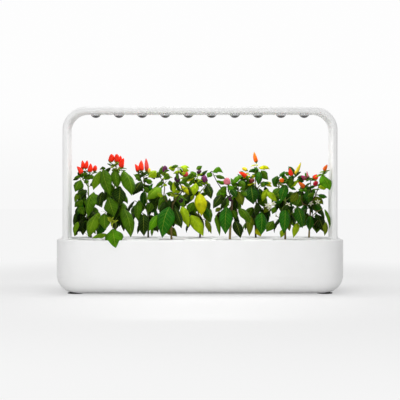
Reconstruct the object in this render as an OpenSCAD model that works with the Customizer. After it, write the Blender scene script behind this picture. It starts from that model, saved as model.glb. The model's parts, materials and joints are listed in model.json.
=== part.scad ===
// Countertop garden: a water tank with a planting deck, nine chili pods and a lamp arch on stacked arms.
// Millimetres. Origin on the table under the middle of the tank, +X to the right, +Y to the back, +Z up.

/* [Water tank] */
// Length of the tank
tank_l = 615; // [600:1:660]
// Depth of the tank, front to back
tank_d = 185; // [182:1:200]
// Height of the rim above the table
rim_z = 115; // [112:1:125]
// Corner radius of the tank seen from above
plan_r = 60; // [56:1:61]
// Radius that rounds the tank's underside
belly_r = 38; // [32:1:40]
// Wall thickness of the tank
tank_wall = 3; // [2.6:0.1:3.6]
// Rounding of the rim's outer edge
rim_r = 2.4; // [1.5:0.1:2.5]
// Width of the ledge that carries the deck
ledge_w = 3; // [2:0.5:4]
// Thickness of that ledge
ledge_t = 3; // [2:0.5:4]
// How far a rubber foot stands out under the tank
foot_h = 1.2; // [1:0.1:3]
// Radius of a rubber foot
foot_r = 17; // [12:1:20]
// Distance from the tank's end to the middle of a foot
foot_end = 41.5; // [38:0.5:60]
// Distance from the tank's front to the middle of a foot
foot_side = 47.5; // [44:0.5:56]

/* [Deck lid] */
// Thickness of the deck lid
lid_t = 2.5; // [2:0.1:3.5]
// Drop from the rim to the lid's top face
lid_drop = 2; // [1:0.1:3]
// Gap between the lid and what surrounds it
lid_gap = 0.5; // [0.3:0.1:1]
// Radius of the fill port
port_r = 17; // [12:1:20]
// Height of the collar around the fill port
port_collar = 1.5; // [1:0.1:1.9]
// Distance of the fill port and the float from the middle line, towards the front
service_y = 46; // [42:1:52]

/* [Planting pods] */
// Number of pods along the deck
pod_count = 9; // [9]
// Distance from the tank's end to the middle of the first pod
pod_end = 63.5; // [62:0.5:68]
// Offset of the two staggered rows from the middle line
row_y = 38; // [36:0.5:40]
// Radius of a cup under its flange
cup_r = 25; // [22:0.5:26]
// Radius of a cup at its bottom
cup_foot_r = 20; // [17:0.5:21]
// Depth of a cup below the deck
cup_depth = 55; // [45:1:60]
// Wall of a cup
cup_wall = 1.4; // [1:0.1:2]
// How far a cup's flange overlaps the deck around its hole
flange_w = 2.6; // [2:0.1:4]
// Thickness of the flange
flange_t = 1.2; // [1:0.1:2]
// Thickness of the cap that closes a cup
cap_t = 1; // [0.8:0.1:1.5]
// Radius of the opening in the cap
cap_hole_r = 11; // [9:0.5:14]
// Clearance between a cup and its hole
cup_gap = 0.4; // [0.3:0.1:0.8]
// Width of a felt wick
wick_w = 9; // [7:0.5:11]
// Thickness of a felt wick
wick_t = 3; // [2:0.5:4]
// Height of a wick's lower end above the table
wick_z = 8; // [7:0.5:12]

/* [Water float] */
// Radius of the float body
float_r = 11; // [8:0.5:13]
// Height of the float body
float_h = 14; // [10:1:18]
// Radius of the float's stem
float_stem_r = 2.5; // [2:0.1:3]
// Radius of the gauge button on the stem
gauge_r = 6; // [5:0.5:8]
// Thickness of the gauge button
gauge_t = 1.6; // [1:0.1:2]
// Travel of the float from empty to full
float_travel = 20; // [15:1:25]

/* [Lamp arms] */
// Thickness of an arm, seen from the front
arm_t = 13; // [12:0.5:14]
// Width of an arm, front to back
arm_w = 52; // [48:1:56]
// Rounding of an arm's long edges
arm_edge_r = 5; // [4.5:0.5:5.5]
// Wall of an arm
arm_wall = 2; // [1.8:0.1:2.2]
// Distance from the tank's end to the middle of an arm
arm_inset = 16; // [15.5:0.5:17]
// Height of the socket stub above the rim
stub_h = 9.5; // [9:0.5:14]
// Length of an extension arm
arm_l = 94; // [90:1:100]
// Length of the tenon under each arm
tenon_l = 24; // [20:1:28]
// Wall of a tenon
tenon_wall = 1.4; // [1.2:0.1:1.6]
// Clearance around a tenon
tenon_gap = 0.2; // [0.15:0.05:0.3]
// Reach of the concave flare at the foot of each arm
flare_r = 8.5; // [6:0.5:9]

/* [Lamp] */
// Height of the arch above the arms that carry it
arch_h = 88.5; // [86:0.5:108]
// Outer radius of the arch's corners
arch_r = 50; // [42:1:56]
// Number of lenses
lens_count = 10; // [10]
// Distance from the end of the straight bar to the middle of the first lens
lens_end = 19.4; // [19:0.1:30]
// Radius of a lens
lens_r = 11.4; // [10:0.1:12]
// How far a lens stands out under the lamp
lens_h = 9; // [8:0.5:10]
// Straight part of a lens below the lamp
lens_rim_h = 2; // [1:0.5:3]
// Width of a lens's inner flange
lens_flange = 1.6; // [1:0.1:2]
// Thickness of the lamp cover
cover_t = 2; // [1.6:0.1:2.4]
// Thickness of a circuit board
board_t = 1.6; // [1:0.1:2]
// Width of the LED board
board_w = 25; // [24:1:26]
// Radius of a lead or a contact pin
lead_r = 1.5; // [1:0.1:1.6]

/* [Plants] */
// Thickness of a leaf along its midrib
leaf_t = 1.2; // [1:0.1:1.6]
// How far a leaf arches, as a share of its length
leaf_arch = 0.16; // [0.1:0.01:0.2]
// Radius of a leaf stalk
stalk_r = 0.7; // [0.6:0.05:0.9]

/* [Hidden] */
PODS = [for (i = [1:pod_count]) i];
$fn = 64;
bite = 1;                                        // how far a cutter runs past a face
fit_gap = 0.1;                                   // clearance around pins, screws and wires
seat_gap = 0.3;                                  // clearance between parts that only lie close

tank_h = rim_z - foot_h;
deck_z = rim_z - lid_drop;                       // top face of the deck
ledge_z = deck_z - lid_t;
end_x = tank_l / 2 - plan_r;                     // centre of the rounded corners
side_y = tank_d / 2 - plan_r;
inner_x = tank_l / 2 - tank_wall;                // inner face of the tank's end wall
inner_y = tank_d / 2 - tank_wall;
arm_x = tank_l / 2 - arm_inset;                  // middle of an arm
arm_out_x = arm_x + arm_t / 2;
foot_x = tank_l / 2 - foot_end;
foot_y = tank_d / 2 - foot_side;
pod_pitch = (tank_l - 2 * pod_end) / (pod_count - 1);
seam_z = [rim_z + stub_h, rim_z + stub_h + arm_l, rim_z + stub_h + 2 * arm_l];
arch_z = seam_z[2] + arch_h;                     // top of the arch
bar_z = arch_z - arm_t;                          // underside of the lamp bar
bar_x = arm_out_x - arch_r;                      // half length of the straight bar
bend_r = arch_r - arm_t / 2;                     // radius of the arch's middle line
lens_pitch = 2 * (bar_x - lens_end) / (lens_count - 1);

// ---- outlines and helpers -------------------------------------------------------------------
module rounded_rect(x, y, r) {
    square([x - 2 * r, y], center = true);
    square([x, y - 2 * r], center = true);
    for (i = [-1, 1], j = [-1, 1]) translate([i * (x / 2 - r), j * (y / 2 - r)]) circle(r);
}

module plan(inset) rounded_rect(tank_l - 2 * inset, tank_d - 2 * inset, plan_r - inset);

module arm_section(inset) rounded_rect(arm_t - 2 * inset, arm_w - 2 * inset, arm_edge_r - inset);

module along_x(length) rotate([90, 0, 90]) linear_extrude(length, center = true) children();

module along_y(length) rotate([90, 0, 0]) linear_extrude(length, center = true) children();

module both_ends() for (s = [0, 1]) mirror([s, 0, 0]) children();

module four_corners(x, y) for (sx = [-1, 1], sy = [-1, 1]) translate([sx * x, sy * y, 0]) children();

// ---- water tank -----------------------------------------------------------------------------
// Half section of the tank from a corner's axis outwards, thinned by inset.
module belly_section(inset, top) {
    round_x = plan_r - belly_r;
    intersection() {
        translate([0, inset]) square([plan_r - inset, top - inset]);
        union() {
            translate([0, inset]) square([round_x, top - inset]);
            translate([0, belly_r]) square([plan_r - inset, top - belly_r]);
            translate([round_x, belly_r]) circle(belly_r - inset);
        }
    }
}

module wall_section() {
    difference() {
        belly_section(0, tank_h);
        belly_section(tank_wall, tank_h + bite);
        difference() {
            translate([plan_r - rim_r, tank_h - rim_r]) square(rim_r + bite);
            translate([plan_r - rim_r, tank_h - rim_r]) circle(rim_r);
        }
    }
    translate([plan_r - tank_wall - ledge_w, ledge_z - foot_h - ledge_t])
        square([ledge_w + tank_wall / 2, ledge_t]);
}

// A half section carried round the tank's corners and ends.
module round_ends() {
    for (sx = [0, 1], sy = [0, 1]) mirror([sx, 0, 0]) mirror([0, sy, 0])
        translate([end_x, side_y, 0]) rotate_extrude(angle = 90) children();
    both_ends() translate([end_x, 0, 0]) along_y(2 * side_y) children();
}

module tank_shell() {
    round_ends() wall_section();
    for (s = [0, 1]) mirror([0, s, 0])
        translate([0, side_y, 0]) along_x(2 * end_x) wall_section();
    translate([-end_x, -side_y, 0]) cube([2 * end_x, 2 * side_y, tank_wall]);
}

// The socket block hangs inside the tank's end on two ears, screwed to posts on the tank's floor.
block_wall = 3;                                  // beside the arm, towards the tank's middle
block_side = 5;                                  // in front of the arm and behind it
tenon_clear = 1;                                 // under a seated tenon
pocket_floor = 10;
ear_l = 13;                                      // reach of an ear past the block
ear_t = 3;
ear_w = 14;
ear_drop = 3;                                    // from the deck lid down to the ears
screw_off = 7;                                   // from the block's side to a screw
screw_grip = 7;                                  // length of a screw in its post
screw_r = 1.5;
head_r = 2.8;
head_h = 1.8;
slot_w = 0.7;                                    // cross slot in a screw head
post_r = 5;
block_in = arm_t / 2 + block_wall;
block_out = inner_x - seat_gap - arm_x;
block_y = arm_w / 2 + block_side;
pocket_z = seam_z[0] - tenon_l - tenon_clear;    // floor of the tenon's pocket
block_z = pocket_z - pocket_floor;
ear_z = ledge_z - ear_t - ear_drop;
screw_y = block_y + screw_off;

inlet_end = 107.5;                               // from the tank's end to the inlet's middle
inlet_x = tank_l / 2 - inlet_end;
inlet_z = 98;
inlet_r = 5.5;
inlet_l = 13;

// Screw posts, which grow out of the rounded floor from the middle of its thickness.
module posts() intersection() {
    four_corners(arm_x, screw_y) cylinder(r = post_r, h = ear_z);
    translate([0, 0, foot_h]) round_ends() belly_section(tank_wall / 2, tank_h);
}

module water_tank() {
    color("white") difference() {
        union() {
            translate([0, 0, foot_h]) tank_shell();
            posts();
        }
        four_corners(arm_x, screw_y) translate([0, 0, ear_z - screw_grip - bite])
            cylinder(r = screw_r, h = screw_grip + 2 * bite);
        both_ends() translate([inner_x - ledge_w - bite, -block_y - ear_l - bite, ear_z - bite])
            cube([ledge_w + bite, 2 * (block_y + ear_l + bite), rim_z - ear_z]);
        translate([inlet_x, tank_d / 2 + bite, inlet_z]) rotate([90, 0, 0])
            cylinder(r = inlet_r + fit_gap, h = tank_wall + 2 * bite);
    }
}

module feet() color("dimgray") four_corners(foot_x, foot_y) cylinder(r = foot_r, h = foot_h);

// ---- arm sockets ----------------------------------------------------------------------------
contact_side = [10.5, 5.5];                      // from the arm's back edge to its two wires
contact_y = [for (side = contact_side) arm_w / 2 - side];
contact_head_r = 2.2;
contact_head_h = 2;

module arm_socket(powered) {
    color("white") translate([arm_x, 0, 0]) difference() {
        union() {
            translate([-block_in, -block_y, block_z])
                cube([block_in + block_out, 2 * block_y, rim_z - block_z]);
            translate([-ear_w / 2, -block_y - ear_l, ear_z]) cube([ear_w, 2 * (block_y + ear_l), ear_t]);
            translate([0, 0, rim_z]) linear_extrude(stub_h) arm_section(0);
            flare();
        }
        translate([0, 0, pocket_z]) linear_extrude(tenon_clear + tenon_l + bite) arm_section(arm_wall);
        for (s = [-1, 1]) translate([0, s * screw_y, ear_z - bite])
            cylinder(r = screw_r + fit_gap, h = ear_t + 2 * bite);
        if (powered) for (y = contact_y) translate([0, y, block_z - bite])
            cylinder(r = lead_r + fit_gap, h = pocket_z - block_z + 2 * bite);
    }
}

// Concave fillet from the rim up the arm's outer face.
module flare() {
    long = arm_w - 2 * arm_edge_r;
    translate([arm_t / 2 - fit_gap, 0, rim_z]) along_y(long) difference() {
        square([flare_r + fit_gap, flare_r]);
        translate([flare_r + fit_gap, flare_r]) circle(flare_r);
    }
}

module arm_socket_right() arm_socket(true);

module arm_socket_left() mirror([1, 0, 0]) arm_socket(false);

module socket_screws() {
    color("silver") four_corners(arm_x, screw_y) {
        translate([0, 0, ear_z - screw_grip]) cylinder(r = screw_r - fit_gap / 2, h = ear_t + screw_grip);
        translate([0, 0, ear_z + ear_t]) difference() {
            cylinder(r = head_r, h = head_h);
            translate([0, 0, head_h / 2]) linear_extrude(head_h) for (turn = [0, 90])
                rotate(turn) square([1.3 * head_r, slot_w], center = true);
        }
    }
}

// Spring pins that pass the current from the socket to the arm's two wires.
module contact_pins() {
    color("goldenrod") for (y = contact_y) translate([arm_x, y, block_z]) {
        translate([0, 0, -contact_head_h]) cylinder(r = contact_head_r, h = contact_head_h);
        cylinder(r = lead_r, h = seam_z[0] - tenon_l - block_z);
    }
}

module dc_inlet() {
    bore_r = 2.8;
    pin_r = 1;
    collar_t = 0.8;
    collar_w = 1.5;
    bore_l = 10;
    color("black") translate([inlet_x, tank_d / 2, inlet_z]) rotate([90, 0, 0]) {
        difference() {
            union() {
                translate([0, 0, -collar_t]) cylinder(r = inlet_r + collar_w, h = collar_t);
                cylinder(r = inlet_r, h = inlet_l);
            }
            translate([0, 0, -collar_t - bite]) cylinder(r = bore_r, h = collar_t + bore_l + bite);
        }
        cylinder(r = pin_r, h = inlet_l - bite);
    }
}

// The lead runs along the back wall, under the ledge, and round the corner into the socket block.
lead_clear = 2;                                  // between the lead and the wall
lead_y = inner_y - lead_r - lead_clear;
module inlet_lead() {
    turn_r = lead_y - side_y;
    start_x = inlet_x + inlet_r;
    color("black") translate([0, 0, inlet_z]) difference() {
        union() {
            translate([start_x, lead_y, 0]) rotate([0, 90, 0]) cylinder(r = lead_r, h = end_x - start_x);
            translate([end_x, side_y, 0]) rotate_extrude(angle = 90) translate([turn_r, 0]) circle(lead_r);
            translate([end_x + turn_r, side_y - block_y, 0]) rotate([-90, 0, 0])
                cylinder(r = lead_r, h = block_y);
        }
        translate([arm_x - block_in, -block_y, -lead_r - bite])
            cube([plan_r, 2 * block_y, 2 * (lead_r + bite)]);
    }
}

// ---- deck lid -------------------------------------------------------------------------------
service_x = 4 * pod_pitch;                       // fill port on the left, float on the right
guide_r = float_stem_r + 2.5;
guide_l = 6;
port_wall = 2;
notch_l = arm_inset + block_in + lid_gap;        // the lid's cut-out around a socket block
function pod_x(i) = (i - (pod_count + 1) / 2) * pod_pitch;
function pod_y(i) = i % 2 == 0 ? -row_y : row_y;

module deck_lid() {
    color("white") difference() {
        union() {
            translate([0, 0, ledge_z]) linear_extrude(lid_t) difference() {
                plan(tank_wall + lid_gap);
                for (i = PODS) translate([pod_x(i), pod_y(i)]) circle(cup_r + cup_gap);
                for (s = [-1, 1]) translate([s * (tank_l - notch_l) / 2, 0])
                    square([notch_l, 2 * (block_y + lid_gap)], center = true);
            }
            translate([-service_x, -service_y, deck_z]) cylinder(r = port_r + port_wall, h = port_collar);
            translate([service_x, -service_y, ledge_z - guide_l]) cylinder(r = guide_r, h = guide_l);
        }
        translate([-service_x, -service_y, ledge_z - bite])
            cylinder(r = port_r, h = lid_t + port_collar + 2 * bite);
        translate([service_x, -service_y, ledge_z - guide_l - bite])
            cylinder(r = float_stem_r + fit_gap, h = guide_l + lid_t + 2 * bite);
    }
}

module water_float() {
    body_top = ledge_z - guide_l - float_travel;
    color("orange") translate([service_x, -service_y, 0]) {
        translate([0, 0, body_top - float_h]) cylinder(r = float_r, h = float_h);
        translate([0, 0, body_top - bite]) cylinder(r = float_stem_r, h = deck_z - body_top + bite);
        translate([0, 0, deck_z]) cylinder(r = gauge_r, h = gauge_t);
    }
}

// ---- extension arms and lamp ----------------------------------------------------------------
// A tenon hangs under z = 0. Its floor holds the wires.
tenon_floor = 2;
module tenon(wires) {
    inset = arm_wall + tenon_gap;
    translate([0, 0, -tenon_l]) difference() {
        linear_extrude(tenon_l + tenon_floor) arm_section(inset);
        translate([0, 0, tenon_floor]) linear_extrude(tenon_l + bite) arm_section(inset + tenon_wall);
        if (wires) for (y = contact_y) translate([0, y, -bite])
            cylinder(r = lead_r + fit_gap, h = tenon_floor + 2 * bite);
    }
}

module extension_arm(bottom_z, wires) {
    color("white") translate([arm_x, 0, bottom_z]) {
        difference() {
            linear_extrude(arm_l) arm_section(0);
            translate([0, 0, tenon_floor]) linear_extrude(arm_l) arm_section(arm_wall);
            translate([0, 0, -bite]) linear_extrude(arm_l) arm_section(arm_wall + tenon_gap + tenon_wall);
        }
        tenon(wires);
    }
}

// Two wires through an arm, from its tenon's foot up to the next one's.
module conductors(bottom_z, length) {
    color("goldenrod") for (y = contact_y) translate([arm_x, y, bottom_z - tenon_l])
        cylinder(r = lead_r, h = length);
}

module lower_arm_right() extension_arm(seam_z[0], true);

module lower_arm_left() mirror([1, 0, 0]) extension_arm(seam_z[0], false);

module lower_conductors() conductors(seam_z[0], arm_l);

module upper_arm_right() extension_arm(seam_z[1], true);

module upper_arm_left() mirror([1, 0, 0]) extension_arm(seam_z[1], false);

module upper_conductors() conductors(seam_z[1], arm_l);

// The arch's corner: an arm section swept a quarter turn.
module arch_corner(inset) {
    translate([bar_x, 0, arch_z - arch_r]) rotate([90, 0, 0]) rotate_extrude(angle = 90)
        translate([bend_r, 0]) arm_section(inset);
}

channel_lip = 3.5;                               // wall on each side of the bar's open channel
channel_end = 6;                                 // solid at each end of the channel
channel_w = arm_w - 2 * channel_lip;
channel_x = bar_x - channel_end;                 // half length of the channel
channel_h = arm_t - 2.5;
boss_hole_l = 4;                                 // length of a screw in its boss

module lamp_shell() {
    color("white") difference() {
        union() {
            translate([0, 0, bar_z + arm_t / 2]) rotate([0, 90, 0])
                linear_extrude(2 * bar_x, center = true) arm_section(0);
            both_ends() {
                arch_corner(0);
                translate([arm_x, 0, seam_z[2]]) linear_extrude(arch_z - arch_r - seam_z[2]) arm_section(0);
            }
        }
        translate([-channel_x, -channel_w / 2, bar_z - bite])
            cube([2 * channel_x, channel_w, channel_h + bite]);
        both_ends() {
            arch_corner(arm_wall);
            translate([arm_x, 0, seam_z[2] + tenon_floor])
                linear_extrude(arch_z - arch_r - seam_z[2] - tenon_floor) arm_section(arm_wall);
            translate([arm_x, 0, seam_z[2] - bite])
                linear_extrude(tenon_floor + 2 * bite) arm_section(arm_wall + tenon_gap + tenon_wall);
        }
        for (y = contact_y) translate([channel_x - bite, y, lamp_wire_z]) rotate([0, 90, 0])
            cylinder(r = lead_r + fit_gap, h = bar_x - channel_x + 2 * bite);
    }
    color("white") {
        translate([arm_x, 0, seam_z[2]]) tenon(true);
        mirror([1, 0, 0]) translate([arm_x, 0, seam_z[2]]) tenon(false);
        for (x = boss_x) translate([x, 0, board_z + board_t]) difference() {
            cylinder(r = boss_r, h = bar_z + channel_h - board_z - board_t + bite);
            translate([0, 0, -bite]) cylinder(r = screw_r, h = boss_hole_l + bite);
        }
    }
}

lamp_wire_z = arch_z - arm_t / 2;
flange_z = bar_z + cover_t;                      // lens flanges lie on the cover
lens_flange_t = 1.2;
board_z = flange_z + lens_flange_t;              // the LED board lies on the lens flanges
led_w = 5;
led_t = 1;
boss_x = [for (k = [-1, 0, 1]) 4 * k * lens_pitch];
boss_r = 3;
lamp_head_h = 1.1;                               // flat screw heads, sunk into the cover
lamp_head_z = bar_z + fit_gap;
lens_x = [for (i = [0:lens_count - 1]) (i - (lens_count - 1) / 2) * lens_pitch];

module lamp_cover() {
    color("white") difference() {
        translate([0, 0, bar_z]) linear_extrude(cover_t)
            square([2 * (channel_x - seat_gap), channel_w - 2 * seat_gap], center = true);
        for (x = lens_x) translate([x, 0, bar_z - bite])
            cylinder(r = lens_r + fit_gap, h = cover_t + 2 * bite);
        for (x = boss_x) translate([x, 0, bar_z - bite]) {
            cylinder(r = head_r + fit_gap, h = fit_gap + lamp_head_h + bite);
            cylinder(r = screw_r + fit_gap, h = cover_t + 2 * bite);
        }
    }
}

module lamp_lenses() {
    cap_h = lens_h - lens_rim_h;
    cap_r = (lens_r * lens_r + cap_h * cap_h) / (2 * cap_h);
    rim_low = bar_z - lens_rim_h;
    color("dimgray", 0.7) for (x = lens_x) translate([x, 0, 0]) difference() {
        union() {
            translate([0, 0, flange_z]) cylinder(r = lens_r + lens_flange, h = lens_flange_t);
            translate([0, 0, rim_low]) cylinder(r = lens_r, h = flange_z - rim_low + lens_flange_t / 2);
            intersection() {
                translate([0, 0, bar_z - lens_h + cap_r]) sphere(cap_r);
                translate([0, 0, bar_z - lens_h - bite])
                    cylinder(r = lens_r, h = cap_h + bite + lens_rim_h / 4);
            }
        }
        translate([0, 0, board_z - 2 * led_t]) cylinder(r = 0.9 * led_w, h = 2 * led_t + bite);
    }
}

module led_board() {
    board_end = 2;                               // left free at each end of the channel
    color("seagreen") difference() {
        translate([0, 0, board_z]) linear_extrude(board_t)
            square([2 * (channel_x - board_end), board_w], center = true);
        for (x = boss_x) translate([x, 0, board_z - bite])
            cylinder(r = screw_r + fit_gap, h = board_t + 2 * bite);
    }
}

module led_emitters() {
    color("khaki") for (x = lens_x) translate([x - led_w / 2, -led_w / 2, board_z - led_t])
        cube([led_w, led_w, led_t]);
}

// Timer and driver board, beside the LED board. Its parts are [start, length, width, height].
driver_l = 60;
driver_end = 28;                                 // from the board to the end of the bar
driver_x = bar_x - driver_l - driver_end;
driver_gap = 1;                                  // between the two boards
driver_y = [board_w / 2 + driver_gap, channel_w / 2 - driver_gap / 2];
driver_w = driver_y[1] - driver_y[0];
DRIVER_PARTS = [
    [6, 14, 6, 4],
    [28, 9, 6, 3],
    [driver_l - 8, 8, driver_w - 1, lamp_wire_z + lead_r - flange_z - board_t]];
module driver_board() {
    color("seagreen") translate([driver_x, driver_y[0], flange_z]) {
        cube([driver_l, driver_w, board_t]);
        for (p = DRIVER_PARTS) translate([p[0], (driver_w - p[2]) / 2, board_t / 2])
            cube([p[1], p[2], board_t / 2 + p[3]]);
    }
}

// Wires from the right leg's tenon, round the arch's corner, to the driver board.
module lamp_lead() {
    color("goldenrod") for (y = contact_y) translate([0, y, 0]) {
        translate([arm_x, 0, seam_z[2] - tenon_l])
            cylinder(r = lead_r, h = arch_z - arch_r - seam_z[2] + tenon_l);
        translate([bar_x, 0, arch_z - arch_r]) rotate([90, 0, 0]) rotate_extrude(angle = 90)
            translate([bend_r, 0]) circle(lead_r);
        translate([driver_x + driver_l, 0, lamp_wire_z]) rotate([0, 90, 0])
            cylinder(r = lead_r, h = bar_x - driver_x - driver_l);
    }
}

module lamp_screws() {
    color("silver") for (x = boss_x) translate([x, 0, lamp_head_z]) {
        cylinder(r = head_r, h = lamp_head_h);
        cylinder(r = screw_r - fit_gap / 2, h = board_z + board_t + boss_hole_l - seat_gap - lamp_head_z);
    }
}

// ---- planting pods --------------------------------------------------------------------------
cup_z = deck_z - cup_depth;                      // underside of a cup
cap_over = 1;                                    // how far the cap overlaps the deck
plug_z = cup_z + cup_wall;
plug_top = deck_z - 1;

module at_pod(i) translate([pod_x(i), pod_y(i), 0]) children();

// Cup with a flange on the deck, and the cap that snaps over its plug.
module cup(i) {
    hole = [wick_w + 2 * seat_gap, wick_t + 2 * seat_gap];
    color("white") at_pod(i) {
        difference() {
            union() {
                translate([0, 0, cup_z]) cylinder(r1 = cup_foot_r, r2 = cup_r, h = cup_depth);
                translate([0, 0, deck_z]) cylinder(r = cup_r + cup_gap + flange_w, h = flange_t);
            }
            translate([0, 0, plug_z])
                cylinder(r1 = cup_foot_r - cup_wall, r2 = cup_r - cup_wall, h = cup_depth - cup_wall);
            translate([0, 0, deck_z - bite / 100]) cylinder(r = cup_r - cup_wall, h = flange_t + bite);
            translate([0, 0, cup_z - bite]) linear_extrude(cup_wall + 2 * bite) square(hole, center = true);
        }
        difference() {
            translate([0, 0, deck_z + flange_t]) cylinder(r = cup_r + cup_gap + cap_over, h = cap_t);
            translate([0, 0, deck_z]) cylinder(r = cap_hole_r, h = flange_t + cap_t + bite);
        }
    }
}

module growing_plug(i) {
    slope = (cup_r - cup_foot_r) / cup_depth;
    low_r = cup_foot_r - cup_wall - seat_gap;
    color("saddlebrown") at_pod(i) translate([0, 0, plug_z])
        cylinder(r1 = low_r, r2 = low_r + slope * (plug_top - plug_z), h = plug_top - plug_z);
}

module wick(i) color("gainsboro") at_pod(i) translate([0, 0, wick_z])
    linear_extrude(plug_z - wick_z) square([wick_w, wick_t], center = true);

// ---- plants ---------------------------------------------------------------------------------
// Points of a plant are measured from the middle of its pod's cap: across, back and up.
// A limb is [points, start radius, end radius]. A leaf is [stalk end, tip, width, upturn, turn, arch]:
// its face looks forwards, raised by upturn and swung to the right by turn. A fruit is
// [stalk end, tip, radius].
LIMBS = [
    [[[[0, 0, -0.7], [-3, 0, 40], [-5, -1, 80], [-6, -3, 116]], 2.4, 1.4],
     [[[-6, -3, 116], [-18, -4, 133], [-19, -3, 142]], 1.3, 0.9],
     [[[-6, -3, 116], [-7, -3, 142]], 1.3, 0.9],
     [[[-5, -1, 80], [4, -4, 98]], 1.2, 0.8],
     [[[-3, 0, 40], [-18, -4, 62], [-22, -4, 84]], 1.3, 0.8]],
    [[[[0, 0, -0.7], [2, 0, 30], [-2, 0, 70], [-1, 0, 110], [0, 0, 146]], 2.5, 1.3],
     [[[1, 0, 44], [14, -4, 62]], 1.3, 0.9],
     [[[-1, 0, 96], [12, -2, 125], [16, -2, 142]], 1.3, 0.9],
     [[[-1, 0, 100], [-20, 0, 128], [-25, 0, 146]], 1.3, 0.9],
     [[[1, 0, 38], [-14, -6, 56]], 1.3, 0.9]],
    [[[[6, 0, -0.7], [6, 0, 40], [4, 0, 72], [0, 0, 110], [-4, 0, 136]], 2.3, 1.2],
     [[[4, 0, 72], [22, -2, 98], [32, -4, 112]], 1.3, 0.9],
     [[[0, 0, 104], [-8, -4, 120]], 1.1, 0.8],
     [[[6, 0, 36], [-4, -6, 54]], 1.2, 0.8],
     [[[6, 0, 58], [-8, -2, 78]], 1.2, 0.8]],
    [[[[0, 0, -0.7], [-1, 0, 22], [1, 0, 42], [2, 0, 78]], 2.4, 2],
     [[[2, 0, 76], [8, -1, 86], [24, -3, 106]], 2, 1.5],
     [[[1, 1, 74], [-8, 1, 80], [-17, 0, 91], [-15, 1, 112], [-18, 0, 128], [-29, -2, 138]], 1.6, 0.9],
     [[[24, -3, 106], [19, -2, 120], [14, 0, 142], [14, -1, 154]], 1.3, 0.8],
     [[[1, 0, 42], [-16, -4, 56]], 1.3, 0.8]],
    [[[[0, 0, -0.7], [1, 0, 30], [-4, 0, 60], [-8, 0, 95], [-9, 0, 120], [-6, 0, 138]], 2.4, 1.1],
     [[[-8, 0, 95], [-28, 0, 112], [-36, 0, 136]], 1.4, 0.9],
     [[[-2, 0, 48], [-22, -2, 66], [-34, -6, 76]], 1.3, 0.9],
     [[[-8, 0, 95], [4, 0, 108], [12, 0, 118]], 1.2, 0.8],
     [[[0, 0, 34], [-14, -6, 48]], 1.1, 0.8]],
    [[[[3, 0, -0.7], [4, 0, 28], [6, 0, 55], [8, 0, 86]], 2.8, 2.6],
     [[[8, 0, 86], [0, 0, 106], [-1, -1, 114]], 1.4, 1],
     [[[8, 0, 86], [-8, 0, 100], [-24, 0, 124], [-31, 0, 138]], 1.4, 0.9],
     [[[8, 0, 86], [20, 0, 104], [22, 2, 120]], 1.4, 0.9],
     [[[5, 0, 45], [18, -4, 62]], 1.3, 0.9],
     [[[5, 0, 42], [-16, -2, 58]], 1.3, 0.9]],
    [[[[3, 0, -0.7], [2, 0, 40], [4, 0, 76], [2, 0, 110], [2, 0, 140], [5, 0, 158]], 2.4, 1],
     [[[2, 0, 106], [-12, 0, 126], [-18, 0, 136]], 1.3, 0.9],
     [[[2, 0, 108], [18, 2, 124], [27, 0, 122]], 1.3, 0.9],
     [[[3, 0, 44], [12, -4, 62], [30, -2, 78]], 1.3, 0.9],
     [[[2, 0, 36], [-7, -5, 50]], 1.2, 0.8]],
    [[[[0, 0, -0.7], [0, 0, 26], [2, 0, 52], [0, 0, 84], [2, 0, 110], [8, 0, 130]], 2.4, 1],
     [[[0, 0, 84], [-14, 0, 112], [-15, 0, 130]], 1.3, 0.9],
     [[[0, 0, 84], [16, 0, 96], [24, -4, 104]], 1.3, 0.9],
     [[[2, 0, 46], [20, -6, 66]], 1.3, 0.9],
     [[[1, 0, 40], [-20, -4, 52]], 1.2, 0.8],
     [[[0, 0, 84], [-22, 2, 96], [-34, 0, 104]], 1.2, 0.8],
     [[[8, 0, 130], [18, -2, 136]], 1, 0.8]],
    [[[[0, 0, -0.7], [2, 0, 40], [4, 0, 72]], 2.4, 2],
     [[[4, 0, 72], [-13, 0, 77], [-18, 0, 89], [-13, 0, 106]], 1.5, 0.9],
     [[[4, 0, 72], [6, -1, 98], [3, -1, 130]], 1.5, 0.9],
     [[[4, 0, 72], [12, -24, 98], [20, -46, 128], [22, -54, 142]], 1.5, 0.9],
     [[[2, 0, 44], [14, -22, 60], [24, -40, 66]], 1.3, 0.9]]
];

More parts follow.
